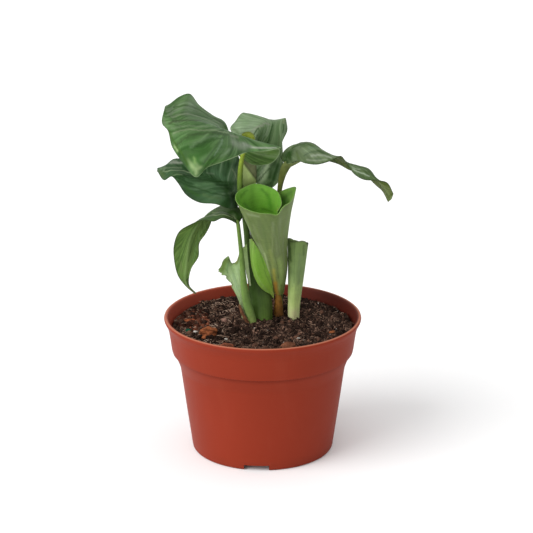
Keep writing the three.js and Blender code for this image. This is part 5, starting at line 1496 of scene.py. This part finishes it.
class PLANT_OT_stalks(bpy.types.Operator):
    """Build the stalks and the root stock"""

    bl_idname = "plant.stalks"
    bl_label = "Stalks"

    def execute(self, context):
        skin = stalk_skin("stalk")
        for name in STALKS:
            make_stalk(name, skin)
        body = tube(ROLLED_LEAF_STALK, 70, 32,
                    lambda p, t: 0.97 + 0.02 * np.sin(9 * t + 5 * p) + 0.015 * math.sin(60 * p))
        points, _, place, around = body
        colour = ramp(place, (0, 96, 66, 34), (0.35, 112, 74, 36), (0.6, 128, 88, 40), (0.85, 156, 118, 50),
                      (1, 128, 130, 60))
        left = np.clip(0.3 - np.cos(TURN * around), 0, 1) * np.clip(place * 2 - 0.5, 0, 1)
        colour = mixed(colour, (206, 142, 62), 0.7 * left) * (1 + 0.2 * rumple(points, 2.5, 8, 3))[:, None]
        finished_stem("stem_rolled_leaf", "rolled_leaf_stalk", "stalk_green", body, colour,
                      stalk_skin("old stalk", 0.6, 0.15, 0.2))
        body = tube(RHIZOME, 120, 40, lambda p, t: 0.96 + 0.03 * math.sin(70 * p) + 0.01 * np.sin(5 * t))
        bark = tone(150, 112, 70) + 0 * body[0]
        colour = mixed(bark, (206, 184, 140), 0.5 + 0.5 * rumple(body[0], 4, 31, 3))
        finished_stem("root_stock", "rhizome", "rhizome", body, colour,
                      stalk_skin("root stock", 0.75, 0.2, 0.2))
        return {"FINISHED"}


# The rolled leaf's midrib runs up at this turn, and its outer lap starts at this place round it
RIB_TURN, LAP_START = 296, 0.77


class PLANT_OT_new_leaf(bpy.types.Operator):
    """Build the rolled new leaf and the flap beside it"""

    bl_idname = "plant.new_leaf"
    bl_label = "New leaf"

    def execute(self, context):
        outside = leaf_skin("new leaf outside", 0.55, 0.1, 160.0, 0.08, 0.1)
        inside = leaf_skin("new leaf inside", 0.4, 0.08, 160.0, 0.07, 0.15)
        edge = leaf_skin("new leaf edge", 0.5, 0.02, 40.0, 0.03, 0.1)
        v, c = np.linspace(0, 1, 90), np.linspace(0, 1, 171)
        grid = rolled_grid(v, c)
        v, c = np.meshgrid(v, c, indexing="ij")
        pleats = ridges(c * 90 + v * 14, v * 3, 3.2, 17, 2)
        turn = np.interp(c, np.linspace(0, 1, len(ROLL_TURNS)), ROLL_TURNS)
        rib = np.exp(-(((turn - RIB_TURN) / (5 + 4 * v)) ** 2)) * (1 - v) ** 0.5
        raised = 0.06 * pleats * np.clip(v * 3, 0, 1) + 0.3 * rib
        outer = ramp(v, (0, 112, 124, 66), (0.15, 120, 138, 78), (0.8, 124, 144, 88), (1, 118, 138, 82))
        outer = outer * (1 + 0.1 * pleats + 0.06 * rumple(grid, 8, 18, 3))[..., None]
        inner = ramp(v, (0, 96, 138, 50), (0.7, 136, 198, 70), (1, 126, 186, 70))
        inner = inner * (1 + 0.04 * pleats)[..., None]
        # The outer lap is duller inside than the funnel itself
        inner = mixed(inner, (112, 152, 68), 0.85 * np.clip((c - LAP_START) * 14, 0, 1))
        make_sheet("new_leaf_roll", "rolled_leaf", "young_leaf", grid, v, c, 0.4, [outside, inside, edge],
                   outer, inner, (138, 174, 92), raised)
        grid, v, c = sheath_grid("rolled_leaf_flap", 110, 40)
        tint = ramp(v, (0, 176, 198, 100), (0.2, 142, 184, 70), (0.6, 130, 178, 64), (1, 124, 158, 76))
        tint = mixed(tint, (150, 190, 92), 0.5 * np.exp(-(((c - 0.15) / 0.12) ** 2)))
        make_sheet("young_flap", "rolled_leaf_flap", "young_leaf", grid, v, c, 0.35, [inside, outside, edge],
                   tint, tint * 0.85, (176, 196, 112), 0.06 * rumple(grid, 4, 41, 2))
        return {"FINISHED"}


class PLANT_OT_sheaths(bpy.types.Operator):
    """Build the cut stub, the torn sheath, the pale strip and the dry scale"""

    bl_idname = "plant.sheaths"
    bl_label = "Sheaths"

    def execute(self, context):
        fresh = [stalk_skin("sheath", 0.5, 0.12, 0.1)] * 3
        dry = [stalk_skin("dry sheath", 0.8, 0.25, 0.3)] * 3
        pale = [stalk_skin("pale sheath", 0.5, 0.06, 0.04)] * 3
        grid, v, c = sheath_grid("cut_stub", 100, 91, 0.8, 5)
        outer = ramp(v, (0, 240, 238, 184), (0.16, 232, 240, 172), (0.28, 208, 228, 146),
                     (0.42, 166, 190, 118), (0.6, 134, 160, 98), (1, 122, 148, 84))
        outer = outer * (1 + 0.07 * rumple(grid, 6, 61, 3))[..., None]
        inner = mixed(tone(92, 118, 60) + 0 * grid, (60, 84, 36), 0.5 + 0.5 * rumple(grid, 8, 62, 2))
        make_sheet("stub", "cut_stub", "sheath", grid, v, c, 0.8, fresh, outer, inner, (124, 136, 92),
                   0.05 * ridges(c * 60, v * 3, 3, 63, 2))
        grid, v, c = sheath_grid("torn_sheath", 90, 71, 0.8, 7)
        # Its left edge is nibbled out above the lowest third
        nibbled = ridges(v[:, 0] * 40, 0 * v[:, 0], 5, 73, 3) * np.clip(3 * v[:, 0] - 1, 0, 1)
        nibbled = nibbled[:, None] * np.exp(-((c[0] / 0.07) ** 2))
        grid = grid + nibbled[..., None] * (0.9, 0, 0.3)
        outer = ramp(v, (0, 228, 242, 184), (0.3, 220, 248, 184), (0.75, 200, 232, 166), (1, 176, 208, 136))
        left = np.clip(0.25 - c, 0, 0.25) / 0.25
        outer = mixed(outer, (120, 146, 78), 0.3 * left * np.clip(v * 3, 0, 1))
        outer = outer * (1 + 0.06 * rumple(grid, 5, 71, 3))[..., None]
        make_sheet("sheath_torn", "torn_sheath", "sheath", grid, v, c, 0.45, pale, outer, outer * 0.9,
                   (120, 128, 78), 0.05 * ridges(c * 60, v * 3, 3, 72, 2))
        grid, v, c = sheath_grid("sheath_wing", 80, 30, 0.6, 9)
        outer = ramp(v, (0, 212, 226, 176), (0.4, 206, 232, 168), (1, 182, 214, 134))
        make_sheet("sheath_strip", "sheath_wing", "sheath", grid, v, c, 0.35, fresh, outer, outer * 0.9,
                   (128, 140, 92))
        grid, v, c = sheath_grid("dry_scale", 70, 50, 1.2, 10)
        outer = mixed(tone(84, 52, 36) + 0 * grid, (146, 98, 66), 0.5 + 0.7 * rumple(grid, 3, 81, 3))
        make_sheet("scale_dry", "dry_scale", "dry_sheath", grid, v, c, 0.4, dry, outer, outer * 0.8,
                   (150, 110, 78), 0.12 * rumple(grid, 3, 82, 3))
        return {"FINISHED"}


FLOOR_HALF_WIDTH, FLOOR_HEIGHT = 4, -0.0002
CAMERA_PLACE, CAMERA_DIP, CAMERA_LENS, CAMERA_SENSOR = (2.046, -1079.92, 462.72), 18.53, 145.51, 36


class PLANT_OT_stage(bpy.types.Operator):
    """Set the floor, the lights and the camera"""

    bl_idname = "plant.stage"
    bl_label = "Stage"

    def execute(self, context):
        values, scene = settings("stage"), context.scene
        scene.view_settings.view_transform = "Standard"
        m = Recipe("studio floor", Specular_IOR_Level=0.1)
        pale = np.array(values.floor_colour)
        m.surface(m.mix(m.range(m.noise(m.place(), 0.6, 1.0), 0.3, 0.7), pale, 1.015 * pale), 0.9)
        mesh = bpy.data.meshes.new("studio_floor")
        corners = [(FLOOR_HALF_WIDTH * a, FLOOR_HALF_WIDTH * b, FLOOR_HEIGHT)
                   for a, b in ((-1, -1), (1, -1), (1, 1), (-1, 1))]
        mesh.from_pydata(corners, [], [(0, 1, 2, 3)])
        mesh.materials.append(m.material)
        floor = linked("studio_floor", mesh)
        scene.world = scene.world or bpy.data.worlds.new("surround")
        scene.world.use_nodes = True
        surround = scene.world.node_tree.nodes["Background"].inputs
        surround["Color"].default_value = (1, 1, 1, 1)
        surround["Strength"].default_value = values.sky
        # Wide lights, with their spread and turn in degrees
        for name, strength, spread, turn in (
            ("key light", values.key_strength, 50, (58, 0, -60)),
            ("fill light", values.fill_strength, 80, (74, 0, -36)),
        ):
            sun = bpy.data.lights.new(name, "SUN")
            sun.energy, sun.angle = strength, math.radians(spread)
            linked(name, sun).rotation_euler = tuple(math.radians(a) for a in turn)
        camera = linked("camera", bpy.data.cameras.new("camera"))
        camera.data.lens, camera.data.sensor_width = CAMERA_LENS, CAMERA_SENSOR
        camera.location = metres(CAMERA_PLACE)
        camera.rotation_mode = "XYZ"
        camera.rotation_euler = (math.radians(90 - CAMERA_DIP), 0, 0)
        scene.camera = camera
        return {"FINISHED"}


class PLANT_PT_panel(bpy.types.Panel):
    """Buttons and settings for the plant"""

    bl_label = "Potted prayer plant"
    bl_idname = "PLANT_PT_panel"
    bl_space_type = "VIEW_3D"
    bl_region_type = "UI"
    bl_category = "Plant"

    def draw(self, context):
        for operator in OPERATORS:
            self.layout.operator(operator.bl_idname)
        for name, group in SETTINGS.items():
            box = self.layout.box()
            for field in group.__annotations__:
                box.prop(settings(name), field)


SETTINGS = {"pot": PotSettings, "soil": SoilSettings, "leaf": LeafSettings, "stage": StageSettings}
OPERATORS = (
    PLANT_OT_pot, PLANT_OT_soil, PLANT_OT_bits, PLANT_OT_leaves, PLANT_OT_stalks,
    PLANT_OT_new_leaf, PLANT_OT_sheaths, PLANT_OT_stage,
)


def register():
    for name, group in SETTINGS.items():
        bpy.utils.register_class(group)
        setattr(bpy.types.Scene, "plant_" + name, bpy.props.PointerProperty(type=group))
    for operator in OPERATORS:
        bpy.utils.register_class(operator)
    bpy.utils.register_class(PLANT_PT_panel)


def unregister():
    bpy.utils.unregister_class(PLANT_PT_panel)
    for operator in reversed(OPERATORS):
        bpy.utils.unregister_class(operator)
    for name, group in SETTINGS.items():
        delattr(bpy.types.Scene, "plant_" + name)
        bpy.utils.unregister_class(group)


def main():
    register()
    bpy.ops.plant.pot()
    bpy.ops.plant.soil()
    bpy.ops.plant.bits()
    bpy.ops.plant.leaves()
    bpy.ops.plant.stalks()
    bpy.ops.plant.new_leaf()
    bpy.ops.plant.sheaths()
    bpy.ops.plant.stage()


if __name__ == "__main__":
    main()
